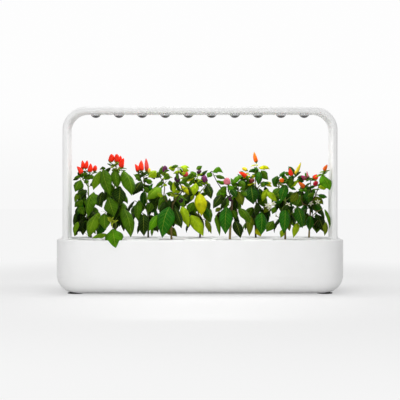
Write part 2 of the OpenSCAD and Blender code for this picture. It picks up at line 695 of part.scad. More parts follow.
LEAVES = [
    [[[-20, 2, 141], [-38, -4, 135], 10, 60, 0],
     [[-22, -6, 131], [-34, -16, 104], 22, 10, -15],
     [[-27, -6, 103], [-36, -11, 81], 12, 10, -20],
     [[-8, -10, 108], [-28, -25, 98], 14, 35, -10],
     [[8, -12, 104], [-6, -29, 46], 26, 0, -25],
     [[-18, -6, 86], [-35, -14, 70], 17, 10, -15],
     [[-24, -10, 72], [-14, -18, 53], 16, 10, 10],
     [[-32, 0, 62], [-35, -5, 20], 9, 0, -20],
     [[-27, -18, 38], [-34, -26, 9], 11, 0, -15],
     [[-16, 8, 50], [-19, 4, 6], 20, 0, 0],
     [[-33, 6, 15], [-38, 0, 5], 8, 20, 0],
     [[4, 10, 100], [22, 22, 68], 20, 10, 25],
     [[-2, 14, 72], [10, 28, 36], 22, 0, 10],
     [[-20, 14, 112], [-34, 26, 82], 20, 10, -20]],
    [[[-30, -4, 149], [-44, -16, 107], 22, 10, -25],
     [[-24, -14, 152], [-6, -30, 95], 24, 5, -10],
     [[0, -8, 151], [7, -20, 110], 19, 5, 10],
     [[20, -6, 149], [38, -18, 95], 30, 5, 40],
     [[12, -6, 116], [8, -16, 72], 27, 5, 15],
     [[-12, -18, 92], [3, -34, 51], 29, 10, 0],
     [[-32, -14, 60], [-52, -32, 6], 25, 10, -20],
     [[-19, -28, 58], [-16, -42, 23], 24, 10, 0],
     [[0, -42.5, 26], [8, -57, -14], 35, 20, 0],
     [[-12, -38, 14], [-44, -44, 6], 15, 60, 0],
     [[20, -20, 69], [38, -36, 7], 26, 5, 30],
     [[24, 2, 68], [20, -6, 18], 17, 0, -10],
     [[-27, 4, 104], [-32, -4, 71], 16, 0, -10],
     [[-6, 12, 120], [-26, 28, 84], 24, 10, -20],
     [[6, 14, 84], [24, 30, 40], 24, 5, 20]],
    [[[-7, -12, 128], [-27, -24, 96], 20, 5, -15],
     [[0, -8, 132], [17, -14, 126], 10, 50, 0],
     [[36, -12, 114], [4, -26, 86], 26, 35, -10],
     [[35, -2, 98], [20, -10, 78], 15, 20, 0],
     [[14, -14, 80], [8, -20, 58], 15, 0, 0],
     [[-14, -8, 86], [-15, -18, 38], 18, 0, -20],
     [[-2, -20, 56], [-1, -32, 6], 24, 0, -5],
     [[16, -10, 26], [15, -16, 5], 6, 0, 0],
     [[-4, 13, 106], [-8, 9, 66], 15, 0, 10],
     [[10, 12, 104], [30, 26, 70], 24, 10, 20],
     [[-16, 5, 76], [-30, 24, 42], 24, 5, -20],
     [[8, 16, 52], [22, 30, 14], 22, 0, 15]],
    [[[-32, -8, 148], [-50, -16, 134], 18, 20, -10],
     [[-20, 4, 140], [-20, 10, 160], 14, -10, 0],
     [[14, -6, 160], [-2, -10, 155], 11, 55, 0],
     [[-6, -12, 142], [-14, -18, 128], 13, 20, 0],
     [[-4, 2, 128], [-1, -2, 115], 10, 10, 10],
     [[-4, -14, 72], [-20, -36, 6], 36, 15, -15],
     [[6, -8, 70], [22, -20, 25], 17, 5, 20],
     [[-24, -8, 55], [-48, -18, 20], 20, 15, -20],
     [[-13, 14, 28], [12, 12, 7], 18, 25, 0],
     [[20, 9, 149], [3, 9, 143], 10, 50, 0],
     [[7, -10, 126], [4, -18, 99], 10, 0, 20],
     [[6, 12, 100], [26, 26, 70], 22, 10, 20],
     [[-12, 12, 96], [-32, 26, 64], 22, 10, -20],
     [[4, 14, 60], [20, 28, 26], 22, 5, 15]],
    [[[-44, -4, 160], [-24, -8, 158], 12, 50, 0],
     [[-8, 6, 155], [5, 6, 163], 11, 30, 0],
     [[-9, 2, 137], [-21, 0, 150], 14, 10, 0],
     [[-42, -8, 119], [-24, -16, 97], 12, 30, 10],
     [[-9, -12, 124], [-14, -22, 96], 16, 5, 0],
     [[-28, 8, 142], [-34, 6, 124], 14, 10, 0],
     [[0, -16, 101], [3, -30, 50], 25, 0, 5],
     [[-26, -6, 99], [-48, -12, 86], 8, 40, 0],
     [[-14, -6, 82], [-28, -14, 56], 17, 5, -10],
     [[-40, -16, 73], [-25, -29, 25], 18, 5, 0],
     [[-20, -14, 53], [8, -30, 6], 24, 10, 10],
     [[-8, -4, 74], [-14, -8, 56], 12, 5, 0],
     [[13, -10, 42], [26, -20, 11], 12, 0, 20],
     [[15, 0, 120], [26, -10, 88], 18, 5, 15],
     [[10, 0, 88], [20, -8, 58], 18, 0, 10],
     [[-16, 14, 110], [-34, 28, 76], 22, 10, -20],
     [[10, 14, 70], [26, 30, 34], 22, 5, 20]],
    [[[-34, -4, 146], [-11, -8, 144], 18, 50, 0, 0.55],
     [[-37, 4, 146], [-45, 0, 134], 12, 20, -10],
     [[-14, -8, 96], [-34, -18, 68], 18, 10, -15],
     [[-5, -10, 114], [-20, -16, 102], 13, 30, 0],
     [[-4, -14, 72], [-8, -32, 13], 26, 5, -10],
     [[-27, -6, 54], [-19, -14, 9], 9, 0, 10],
     [[-18, -5, 70], [-28, -7, 60], 9, 20, 0],
     [[6, -12, 110], [17, -20, 92], 14, 15, 10],
     [[19, -4, 106], [30, -14, 74], 19, 5, 10],
     [[22, -10, 70], [46, -22, 36], 18, 25, 15],
     [[14, -14, 42], [25, -26, 5], 19, 0, 10],
     [[8, -5, 64], [17, -9, 46], 13, 0, 0],
     [[23, -2, 126], [36, -8, 113], 14, 20, 10],
     [[-6, 12, 110], [-26, 26, 80], 22, 10, -20],
     [[10, 14, 96], [28, 28, 62], 22, 10, 20],
     [[-4, 14, 60], [-20, 28, 26], 20, 5, -15]],
    [[[-9, -12, 118], [-4, -26, 76], 31, 0, 0],
     [[9, -4, 158], [34, -8, 155], 13, 50, 0, 0.25],
     [[2, 4, 156], [-14, 0, 148], 10, 50, 0],
     [[10, -12, 150], [7, -20, 118], 14, 0, 0],
     [[15, 4, 152], [31, 0, 131], 17, 15, 10],
     [[-21, -2, 130], [-39, -8, 116], 15, 25, -5],
     [[29, -8, 112], [16, -16, 82], 13, 0, -10],
     [[11, 2, 112], [16, -2, 84], 15, 0, 0],
     [[32, -4, 74], [20, -8, 56], 12, 15, 0],
     [[15, -14, 60], [12, -30, 8], 26, 5, 5],
     [[-9, -9, 50], [-13, -19, 6], 15, 0, -10],
     [[5, -10, 24], [13, -18, 5], 15, 10, 0],
     [[-6, 12, 130], [-26, 26, 100], 22, 10, -20],
     [[12, 14, 100], [30, 28, 66], 22, 10, 20],
     [[-2, 14, 70], [-20, 28, 34], 22, 5, -15]],
    [[[0, -14, 119], [-13, -26, 81], 18, 5, -10],
     [[27, -8, 103], [9, -18, 81], 16, 20, 0],
     [[-38, -6, 104], [-20, -14, 82], 13, 20, 0],
     [[-17, -4, 138], [-27, -12, 117], 14, 15, -5],
     [[14, -4, 134], [7, -8, 112], 14, 10, 0],
     [[-2, -16, 70], [-6, -32, 14], 22, 5, 0],
     [[-22, -8, 72], [-29, -14, 56], 11, 10, 0],
     [[-7, -2, 84], [-25, -5, 79], 9, 45, 0],
     [[-26, -8, 42], [-42, -16, 18], 18, 20, -10],
     [[-5, -12, 24], [-12, -20, 6], 10, 10, 0],
     [[25, -12, 38], [15, -24, 6], 13, 0, -5],
     [[24, -14, 72], [34, -28, 26], 22, 5, 10],
     [[7, 7, 40], [10, 4, 19], 9, 0, 0],
     [[-8, 12, 112], [-28, 26, 80], 22, 10, -20],
     [[10, 14, 104], [28, 28, 72], 22, 10, 20],
     [[6, 14, 64], [22, 28, 28], 22, 5, 15]],
    [[[-3, -12, 108], [-3, -24, 78], 20, 5, 0],
     [[10, -8, 94], [30, -16, 76], 15, 30, 10],
     [[20, -60, 140], [36, -72, 107], 24, 20, 15],
     [[33, -46, 116], [13, -52, 112], 12, 30, 0],
     [[14, -8, 76], [28, -16, 62], 14, 30, 10],
     [[17, -4, 54], [31, -12, 15], 22, 5, 10],
     [[3, -10, 52], [-2, -20, 17], 17, 0, -10],
     [[27, -56, 66], [37, -68, 24], 9, 0, 30],
     [[32, -42, 38], [27, -50, 8], 10, 0, 0],
     [[-5, 4, 118], [-21, 0, 108], 13, 20, 0],
     [[-14, -2, 134], [-30, -6, 126], 10, 30, 0],
     [[-6, 12, 100], [-26, 26, 68], 22, 10, -20],
     [[10, 14, 90], [28, 28, 56], 22, 10, 20],
     [[0, 14, 56], [-18, 28, 22], 22, 5, -15]]
];

FRUITS = [
    [[[-19, -8, 145], [-30, -12, 161], 5], [[-18, 0, 156], [-20, 0, 175], 4.5],
     [[-12, -4, 156], [-8, -5, 175], 4.5], [[-3, -6, 148], [0, -6, 168], 5],
     [[7, 0, 149], [10, 0, 164], 4.3]],
    [[[-9, -4, 167], [-6, -4, 185], 5.6], [[4, -8, 166], [5, -8, 185], 5],
     [[14, -6, 155], [20, -7, 176], 5.2], [[10, 5, 166], [12, 5, 182], 4]],
    [[[-16, 5, 149], [-24, 5, 167], 4.4], [[-9, -7, 151], [-9, -7, 175], 5.6],
     [[3, -1, 150], [1, -1, 180], 4.4], [[9, -10, 146], [10, -11, 157], 3]],
    [[[-14, -8, 145], [-14, -9, 160], 5.2], [[16, -12, 125], [8, -15, 136], 5.2],
     [[22, -8, 90], [18, -9, 80], 4.6]],
    [[[-36, -9, 139], [-31, -10, 152], 5.8], [[-1, -8, 145], [-5, -9, 152], 5],
     [[13, -9, 125], [9, -10, 142], 5.5]],
    [[[-1, -8, 119], [-4, -9, 134], 6.8], [[6, -14, 92], [3, -15, 83], 4.8]],
    [[[4, -2, 170], [-1, -3, 194], 4.2], [[-17, -6, 152], [-28, -8, 158], 3.7],
     [[-17, -10, 137], [-36, -14, 149], 4.2], [[-7, -16, 124], [-10, -18, 134], 5.6]],
    [[[13, -8, 138], [9, -9, 155], 4.3], [[21, -4, 140], [33, -6, 167], 3.6],
     [[-5, -18, 127], [-15, -22, 128], 4]],
    [[[-12, -14, 114], [-25, -18, 126], 4.6], [[-6, -8, 132], [-18, -10, 140], 3.8],
     [[8, -10, 134], [18, -12, 142], 5.2], [[10, -18, 117], [16, -20, 128], 4.8],
     [[25, -58, 150], [32, -60, 163], 3.8], [[-2, -2, 136], [-5, -3, 151], 2]]
];

function unit(v) = v / norm(v);
function across(v, axis) = unit(v - (v * axis) * axis);
function along(limb) =
    [for (p = [0:len(limb[0]) - 2], t = [0, 0.5, 1]) limb[0][p] * (1 - t) + limb[0][p + 1] * t];
function joints(i) = [for (limb = LIMBS[i - 1]) each along(limb)];
// The point of the plant's limbs that a stalk grows from: near its end, and not above it.
function reach(p, end) = norm(p - end) + 2 * max(0, p[2] + 4 - end[2]);
function root_of(end, points) =
    let (d = [for (p = points) reach(p, end)], least = min(d))
        [for (k = [0:len(d) - 1]) if (d[k] == least) points[k]][0];

// Closed skin round a chain of rings that all have the same number of points, with a point at each end.
module ring_skin(start, rings, end) {
    n = len(rings[0]);
    m = len(rings);
    points = concat([start], [for (r = rings) each r], [end]);
    polyhedron(points, concat(
        [for (k = [0:n - 1]) [0, 1 + (k + 1) % n, 1 + k]],
        [for (j = [0:m - 2], k = [0:n - 1]) each let (a = 1 + j * n + k, b = 1 + j * n + (k + 1) % n)
            [[a, b, b + n], [a, b + n, a + n]]],
        [for (k = [0:n - 1]) [1 + (m - 1) * n + k, 1 + (m - 1) * n + (k + 1) % n, 1 + m * n]]));
}

module tube(path, r0, r1, sides) {
    last = len(path) - 1;
    rings = [for (i = [0:last]) let (
            axis = unit(path[min(i + 1, last)] - path[max(i - 1, 0)]),
            u = across([0.3, 1, 0.2], axis),
            v = cross(u, axis),
            r = r0 + (r1 - r0) * i / last)
        [for (k = [0:sides - 1]) path[i] + r * (u * cos(360 * k / sides) + v * sin(360 * k / sides))]];
    ring_skin(path[0], rings, path[last]);
}

LEAF_STEPS = [0.12, 0.32, 0.55, 0.76, 0.91];     // stations along the midrib
LEAF_SPREAD = [0.58, 1, 0.86, 0.5, 0.2];         // width there, as a share of the widest
leaf_fold = 0.25;                                // how far the halves bend back from the midrib
module leaf(data) {
    long = norm(data[1] - data[0]);
    axis = unit(data[1] - data[0]);
    face = across([sin(data[4]) * cos(data[3]), -cos(data[4]) * cos(data[3]), sin(data[3])], axis);
    side = cross(axis, face) * data[2] / 2;
    arch = len(data) > 5 ? data[5] : leaf_arch;
    rings = [for (k = [0:len(LEAF_STEPS) - 1]) let (
            t = LEAF_STEPS[k],
            w = LEAF_SPREAD[k],
            mid = data[0] + axis * long * t + face * arch * long * 4 * t * (1 - t),
            fold = face * leaf_fold * w * data[2] / 2,
            rib = face * leaf_t / 2 * (0.4 + 0.6 * w))
        [mid + w * side - fold, mid + rib, mid - w * side - fold, mid - rib]];
    ring_skin(data[0], rings, data[1]);
}

// A stalk rises from a limb, thins out and stops behind what it carries, in line with it.
stalk_rise = 0.2;
module stalk(data, gap, points) {
    stop = data[0] - gap * unit(data[1] - data[0]);
    root = root_of(stop, points);
    middle = (root + stop) / 2 + [0, 0, stalk_rise * norm(stop - root)];
    tube([root, middle, stop], stalk_r * 1.3, stalk_r / 2, 3);
}

module aim(from, to) {
    d = to - from;
    translate(from) rotate([0, acos(d[2] / norm(d)), atan2(d[1], d[0])]) children();
}

// Fruits are long and pointed, or short and round where they are less than 3.5 radii long.
POINTED = [[0, 0], [0.75, 0.06], [1, 0.28], [0.86, 0.55], [0.46, 0.83], [0, 1]];
ROUND = [[0, 0], [0.72, 0.1], [1, 0.42], [0.86, 0.75], [0.42, 0.94], [0, 1]];
module fruit(data) {
    long = norm(data[1] - data[0]);
    outline = long < 3.5 * data[2] ? ROUND : POINTED;
    aim(data[0], data[1]) rotate_extrude($fn = 8) polygon([for (p = outline) [p[0] * data[2], p[1] * long]]);
}

// The green cup between a stalk and its fruit.
calyx_h = 2.1;
module calyx(data) {
    aim(data[0], data[1]) translate([0, 0, -seat_gap - calyx_h])
        cylinder(r1 = stalk_r, r2 = data[2] / 2, h = calyx_h, $fn = 6);
}

// Swollen joint where a limb forks or ends, turned so that its corners miss the limb's.
knot_turn = [8, 12, 5];
module knot(p, r) translate(p) rotate(knot_turn) hull() for (s = [0, 1]) mirror([0, 0, s])
    cylinder(r1 = 1.25 * r, r2 = 0.8 * r, h = 1.6 * r, $fn = 6);

// The plants are drawn for pods this far apart, and spread sideways with the pods.
drawn_pitch = 61;
module on_cap(i) at_pod(i) translate([0, 0, deck_z]) scale([pod_pitch / drawn_pitch, 1, 1]) children();

module chili_plant(i) {
    points = joints(i);
    color("green") on_cap(i) {
        for (limb = LIMBS[i - 1]) {
            tube(limb[0], limb[1], limb[2], 6);
            knot(limb[0][1], limb[1]);
            knot(limb[0][len(limb[0]) - 1], limb[2]);
        }
        for (data = LEAVES[i - 1]) {
            leaf(data);
            stalk(data, 2 * seat_gap, points);
        }
    }
    color("red") on_cap(i) for (data = FRUITS[i - 1]) {
        fruit(data);
        calyx(data);
        stalk(data, calyx_h, points);
    }
}

water_tank();
feet();
arm_socket_left();
arm_socket_right();
socket_screws();
contact_pins();
dc_inlet();
inlet_lead();
deck_lid();
water_float();
lower_arm_left();
lower_arm_right();
lower_conductors();
upper_arm_left();
upper_arm_right();
upper_conductors();
lamp_shell();
lamp_cover();
lamp_lenses();
led_board();
led_emitters();
driver_board();
lamp_lead();
lamp_screws();
for (i = PODS) {
    cup(i);
    growing_plug(i);
    wick(i);
    chili_plant(i);
}
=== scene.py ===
# %% [markdown]
# # Countertop hydroponic garden
# A white water tank carries nine chili plants under a lamp arch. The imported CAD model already
# holds every moulded part and every joint, so it is loaded first and stays as it is. What is
# left to do here is the look of it: finishes for the moulded parts, and living plants.

# %% Load the frame
import json
import math
import random

import bmesh
import bpy
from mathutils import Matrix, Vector


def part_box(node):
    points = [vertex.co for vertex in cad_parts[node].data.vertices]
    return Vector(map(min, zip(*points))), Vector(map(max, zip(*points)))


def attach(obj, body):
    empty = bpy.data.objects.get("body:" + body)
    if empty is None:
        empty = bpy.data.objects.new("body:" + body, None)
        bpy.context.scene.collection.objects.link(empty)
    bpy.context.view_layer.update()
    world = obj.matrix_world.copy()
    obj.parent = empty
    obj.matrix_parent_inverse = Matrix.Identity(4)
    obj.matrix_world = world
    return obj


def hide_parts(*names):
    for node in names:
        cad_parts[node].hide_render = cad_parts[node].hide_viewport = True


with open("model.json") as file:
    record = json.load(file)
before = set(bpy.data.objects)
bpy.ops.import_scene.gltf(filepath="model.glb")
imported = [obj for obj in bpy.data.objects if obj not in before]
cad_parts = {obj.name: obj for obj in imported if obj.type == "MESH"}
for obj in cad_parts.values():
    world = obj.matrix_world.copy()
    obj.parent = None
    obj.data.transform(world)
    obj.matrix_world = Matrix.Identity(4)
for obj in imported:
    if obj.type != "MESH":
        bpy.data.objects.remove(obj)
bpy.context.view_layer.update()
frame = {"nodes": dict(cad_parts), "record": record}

# %% [markdown]
# ## Camera
# The garden is seen straight from the front, level with the leaves. A long lens from nearly
# two metres keeps the arch square. The small shift sets the horizon a hair above the middle.

# %% Camera
EYE_HEIGHT = 0.2006
EYE_DISTANCE = 1.7925
LENS = 73.53
HORIZON_SHIFT = -0.00175

camera_data = bpy.data.cameras.new("camera")
camera_data.lens = LENS
camera_data.shift_y = HORIZON_SHIFT
camera = bpy.data.objects.new("camera", camera_data)
camera.location = (0, -EYE_DISTANCE, EYE_HEIGHT)
camera.rotation_euler = (math.radians(90), 0, 0)
bpy.context.scene.collection.objects.link(camera)
bpy.context.scene.camera = camera
bpy.context.scene.view_settings.view_transform = "Standard"
print("camera at", tuple(round(value, 3) for value in camera.location))

# %% [markdown]
# ## Words for shaders
# A finish is a graph of nodes, which is slow to read when each node is made by hand. Three small
# classes turn it into sums: a Wire is an output socket that can be added and multiplied, a Graph
# makes any node from its type, its settings and its sockets, and a Finish is the graph of one
# material.

# %% Words for shaders
def paint(code):
    """A colour written as on a paint chart, such as "#f4f4f2", as the numbers a shader uses.

    A chart's numbers are sRGB and a shader's are linear light, so the sRGB curve is undone.
    """
    parts = [int(code[k:k + 2], 16) / 255 for k in (1, 3, 5)]
    light = [p / 12.92 if p <= 0.04045 else ((p + 0.055) / 1.055) ** 2.4 for p in parts]
    return (*light, 1.0)


class Wire:
    """An output socket. A sum written with it adds the Math nodes that work it out."""

    def __init__(self, graph, socket):
        self.graph = graph
        self.socket = socket

    def maths(self, operation, first, second=0.0):
        return self.graph.add("Math", {"operation": operation}, {0: first, 1: second})

    def __add__(self, other):
        return self.maths("ADD", self, other)

    def __sub__(self, other):
        return self.maths("SUBTRACT", self, other)

    def __mul__(self, other):
        return self.maths("MULTIPLY", self, other)

    def __abs__(self):
        return self.maths("ABSOLUTE", self)

    def fraction(self):
        return self.maths("FRACT", self)

    def step(self, low, high):
        """Rises smoothly from 0 at low to 1 at high, or falls where high is the smaller."""
        return self.graph.add("MapRange", {"interpolation_type": "SMOOTHSTEP"}, {0: self, 1: low, 2: high})

    __radd__ = __add__


class Graph:
    """The nodes of the world or of a material."""

    def __init__(self, tree):
        self.tree = tree

    def plug(self, node, socket, value):
        """Links a wire to a socket, or writes a plain value there."""
        if isinstance(value, Wire):
            self.tree.links.new(value.socket, node.inputs[socket])
        else:
            node.inputs[socket].default_value = value

    def add(self, kind, settings, sockets, output=0):
        """Makes a node and gives back one of its outputs."""
        node = self.tree.nodes.new("ShaderNode" + kind)
        for name, value in settings.items():
            setattr(node, name, value)
        for socket, value in sockets.items():
            self.plug(node, socket, value)
        return Wire(self, node.outputs[output])

    def place(self):
        """Where a point of the piece is, in metres."""
        return self.add("TexCoord", {}, {}, "Object")

    def chart(self):
        """Where a point is on the piece's own UV map."""
        return self.add("TexCoord", {}, {}, "UV")

    def tone(self):
        """The colour that each leaf, stem or fruit keeps in an attribute of its mesh."""
        return self.add("Attribute", {"attribute_name": "tone"}, {}, "Color")

    def part(self, axis, vector):
        """One axis of a vector."""
        return self.add("SeparateXYZ", {}, {0: vector}, axis)

    def noise(self, scale, detail=2.0):
        return self.add("TexNoise", {}, {"Vector": self.place(), "Scale": scale, "Detail": detail})

    def streaks(self, across, along, detail):
        """Noise that is drawn out up the piece."""
        drawn = self.add("Mapping", {}, {0: self.place(), 3: (across, across, along)})
        return self.add("TexNoise", {}, {"Vector": drawn, "Scale": 1.0, "Detail": detail})

    def mix(self, share, first, second, blend="MIX"):
        """A share of the second colour in the first. Sockets 6, 7 and output 2 are the colours."""
        return self.add("Mix", {"data_type": "RGBA", "blend_type": blend}, {0: share, 6: first, 7: second}, 2)


class Finish(Graph):
    """A material round one Principled shader."""

    def __init__(self, name, plain):
        self.material = bpy.data.materials.new(name)
        self.material.use_nodes = True
        super().__init__(self.material.node_tree)
        self.shader = self.tree.nodes["Principled BSDF"]
        for socket, value in plain.items():
            self.feed(socket, value)

    def feed(self, socket, value):
        self.plug(self.shader, socket, value)

    def bump(self, height, depth):
        """Raises the surface where height is 1, by a depth in metres."""
        self.feed("Normal", self.add("Bump", {}, {"Height": height, "Distance": depth}))


print("a paint chart white is", [round(value, 3) for value in paint("#f4f4f2")])

# %% [markdown]
# ## Moulded plastics
# The tank, arms and arch are white ABS from a finely spark-eroded mould: satin, with a grain
# too small to see from across a table and a slow waviness where thick walls have shrunk. One
# function makes every plastic, so the parts differ only in colour, roughness and grain.

# %% Moulded plastics
SPARK_GRAIN = 1500
SHRINK_WAVES = 16
WAVE_EDGES = (0.25, 0.8)
WAVE_SHADE = 0.6
WAVE_ROUGH = 0.1
GRAIN_ROUGH = 0.06
WAVE_HEIGHT = 1.4
GRAIN_HEIGHT = 0.8


def moulded(name, colour, shade, rough, depth):
    """A plastic that shades a little where its walls have shrunk."""
    finish = Finish(name, {"IOR": 1.52})
    waves = finish.noise(SHRINK_WAVES, 3)
    grain = finish.noise(SPARK_GRAIN)
    finish.feed("Base Color", finish.mix(waves.step(*WAVE_EDGES) * WAVE_SHADE, paint(colour), paint(shade)))
    finish.feed("Roughness", waves * WAVE_ROUGH + rough + grain * GRAIN_ROUGH)
    finish.bump(grain * GRAIN_HEIGHT + waves * WAVE_HEIGHT, depth)
    return finish


FINISHES = {
    "white_abs": moulded("white_abs", "#f4f4f4", "#f0f0ef", 0.46, 0.00001),
    "lid_abs": moulded("lid_abs", "#f1f1f1", "#ececec", 0.38, 0.00008),
    "float_plastic": moulded("float_plastic", "#e8eaeb", "#dfe2e4", 0.42, 0.00006),
    "black_plastic": moulded("black_plastic", "#1a1a1b", "#222224", 0.4, 0.0001),
}
print("plastics:", ", ".join(FINISHES))

# %% [markdown]
# ## Rubber, metals and boards
# The feet are dark rubber with a dusty bloom. Screws and spring contacts are metal that was
# turned, so fine rings catch the light. The lamp's board is coated white to throw light back.

# %% Rubber, metals and boards
BLOOM_PATCHES = 60
RUBBER_CRUMBS = 2200
TURNED_RINGS = 900.0
HANDLING_SMEARS = 220
BOARD_TRACKS = 90.0
BOARD_WEAVE = 1100
PHOSPHOR_GRAINS = 3000


def foot_rubber():
    """Matt dark rubber with a dusty bloom."""
    finish = Finish("foot_rubber", {"IOR": 1.5})
    bloom = finish.noise(BLOOM_PATCHES, 4)
    crumbs = finish.noise(RUBBER_CRUMBS)
    finish.feed("Base Color", finish.mix(bloom.step(0.3, 0.75), paint("#2f2f30"), paint("#474748")))
    finish.feed("Roughness", bloom * 0.15 + 0.68)
    finish.bump(crumbs + bloom, 0.00015)
    return finish


def turned_metal(name, bright, dull, rough):
    """Metal with the fine rings of a lathe, duller where it was handled."""
    finish = Finish(name, {"Metallic": 1.0})
    rings = finish.add("TexWave", {"wave_type": "RINGS", "rings_direction": "Z"},
                       {"Vector": finish.place(), "Scale": TURNED_RINGS, "Distortion": 1.5})
    smears = finish.noise(HANDLING_SMEARS, 3)
    finish.feed("Base Color", finish.mix(smears.step(0.35, 0.8), paint(bright), paint(dull)))
    finish.feed("Roughness", rings * 0.12 + smears * 0.15 + rough)
    finish.bump(rings, 0.00002)
    return finish


def circuit_board():
    """White solder mask over tracks and a glass weave."""
    finish = Finish("circuit_board", {"Coat Weight": 0.3, "Coat Roughness": 0.2})
    tracks = finish.add("TexBrick", {}, {"Vector": finish.place(), "Scale": BOARD_TRACKS,
                                         "Mortar Size": 0.03}, 1)
    weave = finish.noise(BOARD_WEAVE)
    finish.feed("Base Color", finish.mix(tracks, paint("#e9ece8"), paint("#c9cfc6")))
    finish.feed("Roughness", weave * 0.2 + 0.3)
    finish.bump(tracks + weave * 0.2, 0.00006)
    return finish


def led_face():
    """The yellow, grainy phosphor of an LED under its clear top."""
    finish = Finish("led", {"Coat Weight": 0.5, "IOR": 1.5})
    grains = finish.noise(PHOSPHOR_GRAINS, 3)
    finish.feed("Base Color", finish.mix(grains, paint("#e8cf5a"), paint("#f3e7a4")))
    finish.feed("Roughness", grains * 0.2 + 0.3)
    finish.bump(grains, 0.00003)
    return finish


FINISHES["foot_rubber"] = foot_rubber()
FINISHES["steel"] = turned_metal("steel", "#c9cbcd", "#a3a6a9", 0.22)
FINISHES["contact_brass"] = turned_metal("contact_brass", "#d9b765", "#b38d3c", 0.2)
FINISHES["circuit_board"] = circuit_board()
FINISHES["led"] = led_face()
print("plastic and hard finishes:", len(FINISHES))

# %% [markdown]
# ## Smoky lenses
# Ten smoked domes hang in a row under the lamp bar. The tint is in the plastic, so a dome looks
# palest at its rim, where the white bar shines through, and darkest at its crown, where one
# looks through the most of it. That light and shade are painted: a gradient on height gives them without
# tracing clear plastic.

# %% Smoky lenses
LENS_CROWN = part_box("lamp_lenses")[0].z
LENS_CLEAR = LENS_CROWN + 0.006
LENS_DARK = LENS_CROWN + 0.0026
LENS_SWIRLS = 700


def smoky_lens():
    """Smoked plastic with painted see-through light: palest at the rim, darker towards the crown of each
    dome.
    """
    finish = Finish("smoky_lens", {"IOR": 1.49, "Coat Weight": 0.4, "Coat Roughness": 0.06,
                                   "Transmission Weight": 0.2})
    height = finish.part("Z", finish.place())
    swirl = finish.noise(LENS_SWIRLS)
    # Painted light and shade: pale where the white bar is painted shining through, dark at the crown.
    depth = height.step(LENS_CLEAR, LENS_DARK)
    finish.feed("Base Color", finish.mix(depth, paint("#e4e4e6"), paint("#3c3c3f")))
    finish.feed("Roughness", swirl * 0.08 + 0.14)
    finish.bump(swirl, 0.00003)
    return finish


FINISHES["smoky_lens"] = smoky_lens()
print("lens crowns at", round(LENS_CROWN * 1000, 1), "mm")

# %% [markdown]
# ## What the roots live in
# Each cup holds a plug of dark, crumbly growing sponge, and a felt wick draws water up to it.
# Sponge is mostly holes: Voronoi cells make the pits and noise breaks their edges. Each pit is painted darker
# towards its bottom, as painted shade.

# %% Growing sponge and felt
SPONGE_PITS = 700.0
SPONGE_CRUMBS = 400
FELT_ACROSS = 900
FELT_ALONG = 160


def growing_medium():
    """Dark sponge full of pits, with painted shade deepening towards the bottom of each pit."""
    finish = Finish("growing_medium", {"Specular IOR Level": 0.2})
    pits_and_painted_shade = finish.add("TexVoronoi", {}, {"Vector": finish.place(), "Scale": SPONGE_PITS})
    crumbs = finish.noise(SPONGE_CRUMBS, 5)
    # Painted shade: each pit is darker towards its middle; the crumbs vary the brown at random.
    finish.feed("Base Color", finish.mix(pits_and_painted_shade + crumbs * 0.5, paint("#1f150e"), paint("#5a4330")))
    finish.feed("Roughness", crumbs * 0.1 + 0.88)
    finish.bump(pits_and_painted_shade + crumbs, 0.0012)
    return finish


def felt():
    """White felt whose fibres run up the wick."""
    finish = Finish("felt", {"Sheen Weight": 0.4})
    fibres = finish.streaks(FELT_ACROSS, FELT_ALONG, 4.0)
    finish.feed("Base Color", finish.mix(fibres, paint("#d8d4c8"), paint("#f0ece2")))
    finish.feed("Roughness", fibres * 0.1 + 0.85)
    finish.bump(fibres, 0.0004)
    return finish


FINISHES["growing_medium"] = growing_medium()
FINISHES["felt"] = felt()
print("finishes so far:", len(FINISHES))

# %% [markdown]
# ## Leaf, stem and fruit
# A chili leaf is waxy and folded along a pale midrib, from which side veins sweep towards the
# tip. Its pattern has to follow the blade, so it reads the leaf's own UV map: u runs from edge
# to edge, v from stalk to tip. Every leaf has its own green, kept in an attribute on the mesh.

# %% Leaf finish
VEIN_PAIRS = 8
VEIN_SWEEP = 0.2
VEIN_EDGES = (0.4, 0.49)
MIDRIB_EDGES = (0.07, 0.015)
NET_CELLS = 420.0
NET_EDGES = (0.12, 0.0)
LEAF_PATCHES = 90


def leaf_skin():
    """A green blade with a pale midrib, side veins, a fine net and darker patches and edges."""
    finish = Finish("chili_leaf", {"IOR": 1.42, "Specular IOR Level": 0.06})
    tone = finish.tone()
    chart = finish.chart()
    out = abs(finish.part("X", chart) * 2.0 - 1.0)
    along = finish.part("Y", chart)
    midrib = out.step(*MIDRIB_EDGES)
    rows = ((along - out * VEIN_SWEEP) * VEIN_PAIRS).fraction()
    veins = abs(rows - 0.5).step(*VEIN_EDGES) * out.step(1.0, 0.5)
    cells = finish.add("TexVoronoi", {"feature": "DISTANCE_TO_EDGE"},
                       {"Vector": finish.place(), "Scale": NET_CELLS})
    net = cells.step(*NET_EDGES)
    patches = finish.noise(LEAF_PATCHES, 3)
    pale = finish.mix(0.5, tone, paint("#a8bb3c"))
    deep = finish.mix(1.0, tone, paint("#9cac90"), "MULTIPLY")
    blade = finish.mix(patches.step(0.35, 0.75) * 0.7, tone, deep)
    blade = finish.mix(out.step(0.85, 1.0) * 0.25, blade, deep)
    blade = finish.mix(net * 0.1, blade, pale)
    finish.feed("Base Color", finish.mix(veins * 0.32 + midrib * 0.55, blade, pale))
    finish.feed("Roughness", patches * 0.15 + 0.4)
    finish.bump(patches * 0.8 - veins * 0.5 - midrib * 0.6 - net * 0.25, 0.0005)
    return finish


LEAF_SKIN = leaf_skin()
FINISHES["chili_foliage"] = LEAF_SKIN
print("veins on each side of a leaf:", VEIN_PAIRS)

# %% [markdown]
# The stems, fruits and petals read the same attribute. A stem is streaked like bark, a fruit is
# smooth and waxy with a flush in its colour, and a petal is white with a greener throat.

# %% Stem, fruit and petal finishes
STEM_ACROSS = 900
STEM_ALONG = 90
FRUIT_FLUSH = 160
FRUIT_WAX = 1500
PETAL_LINES = 1200


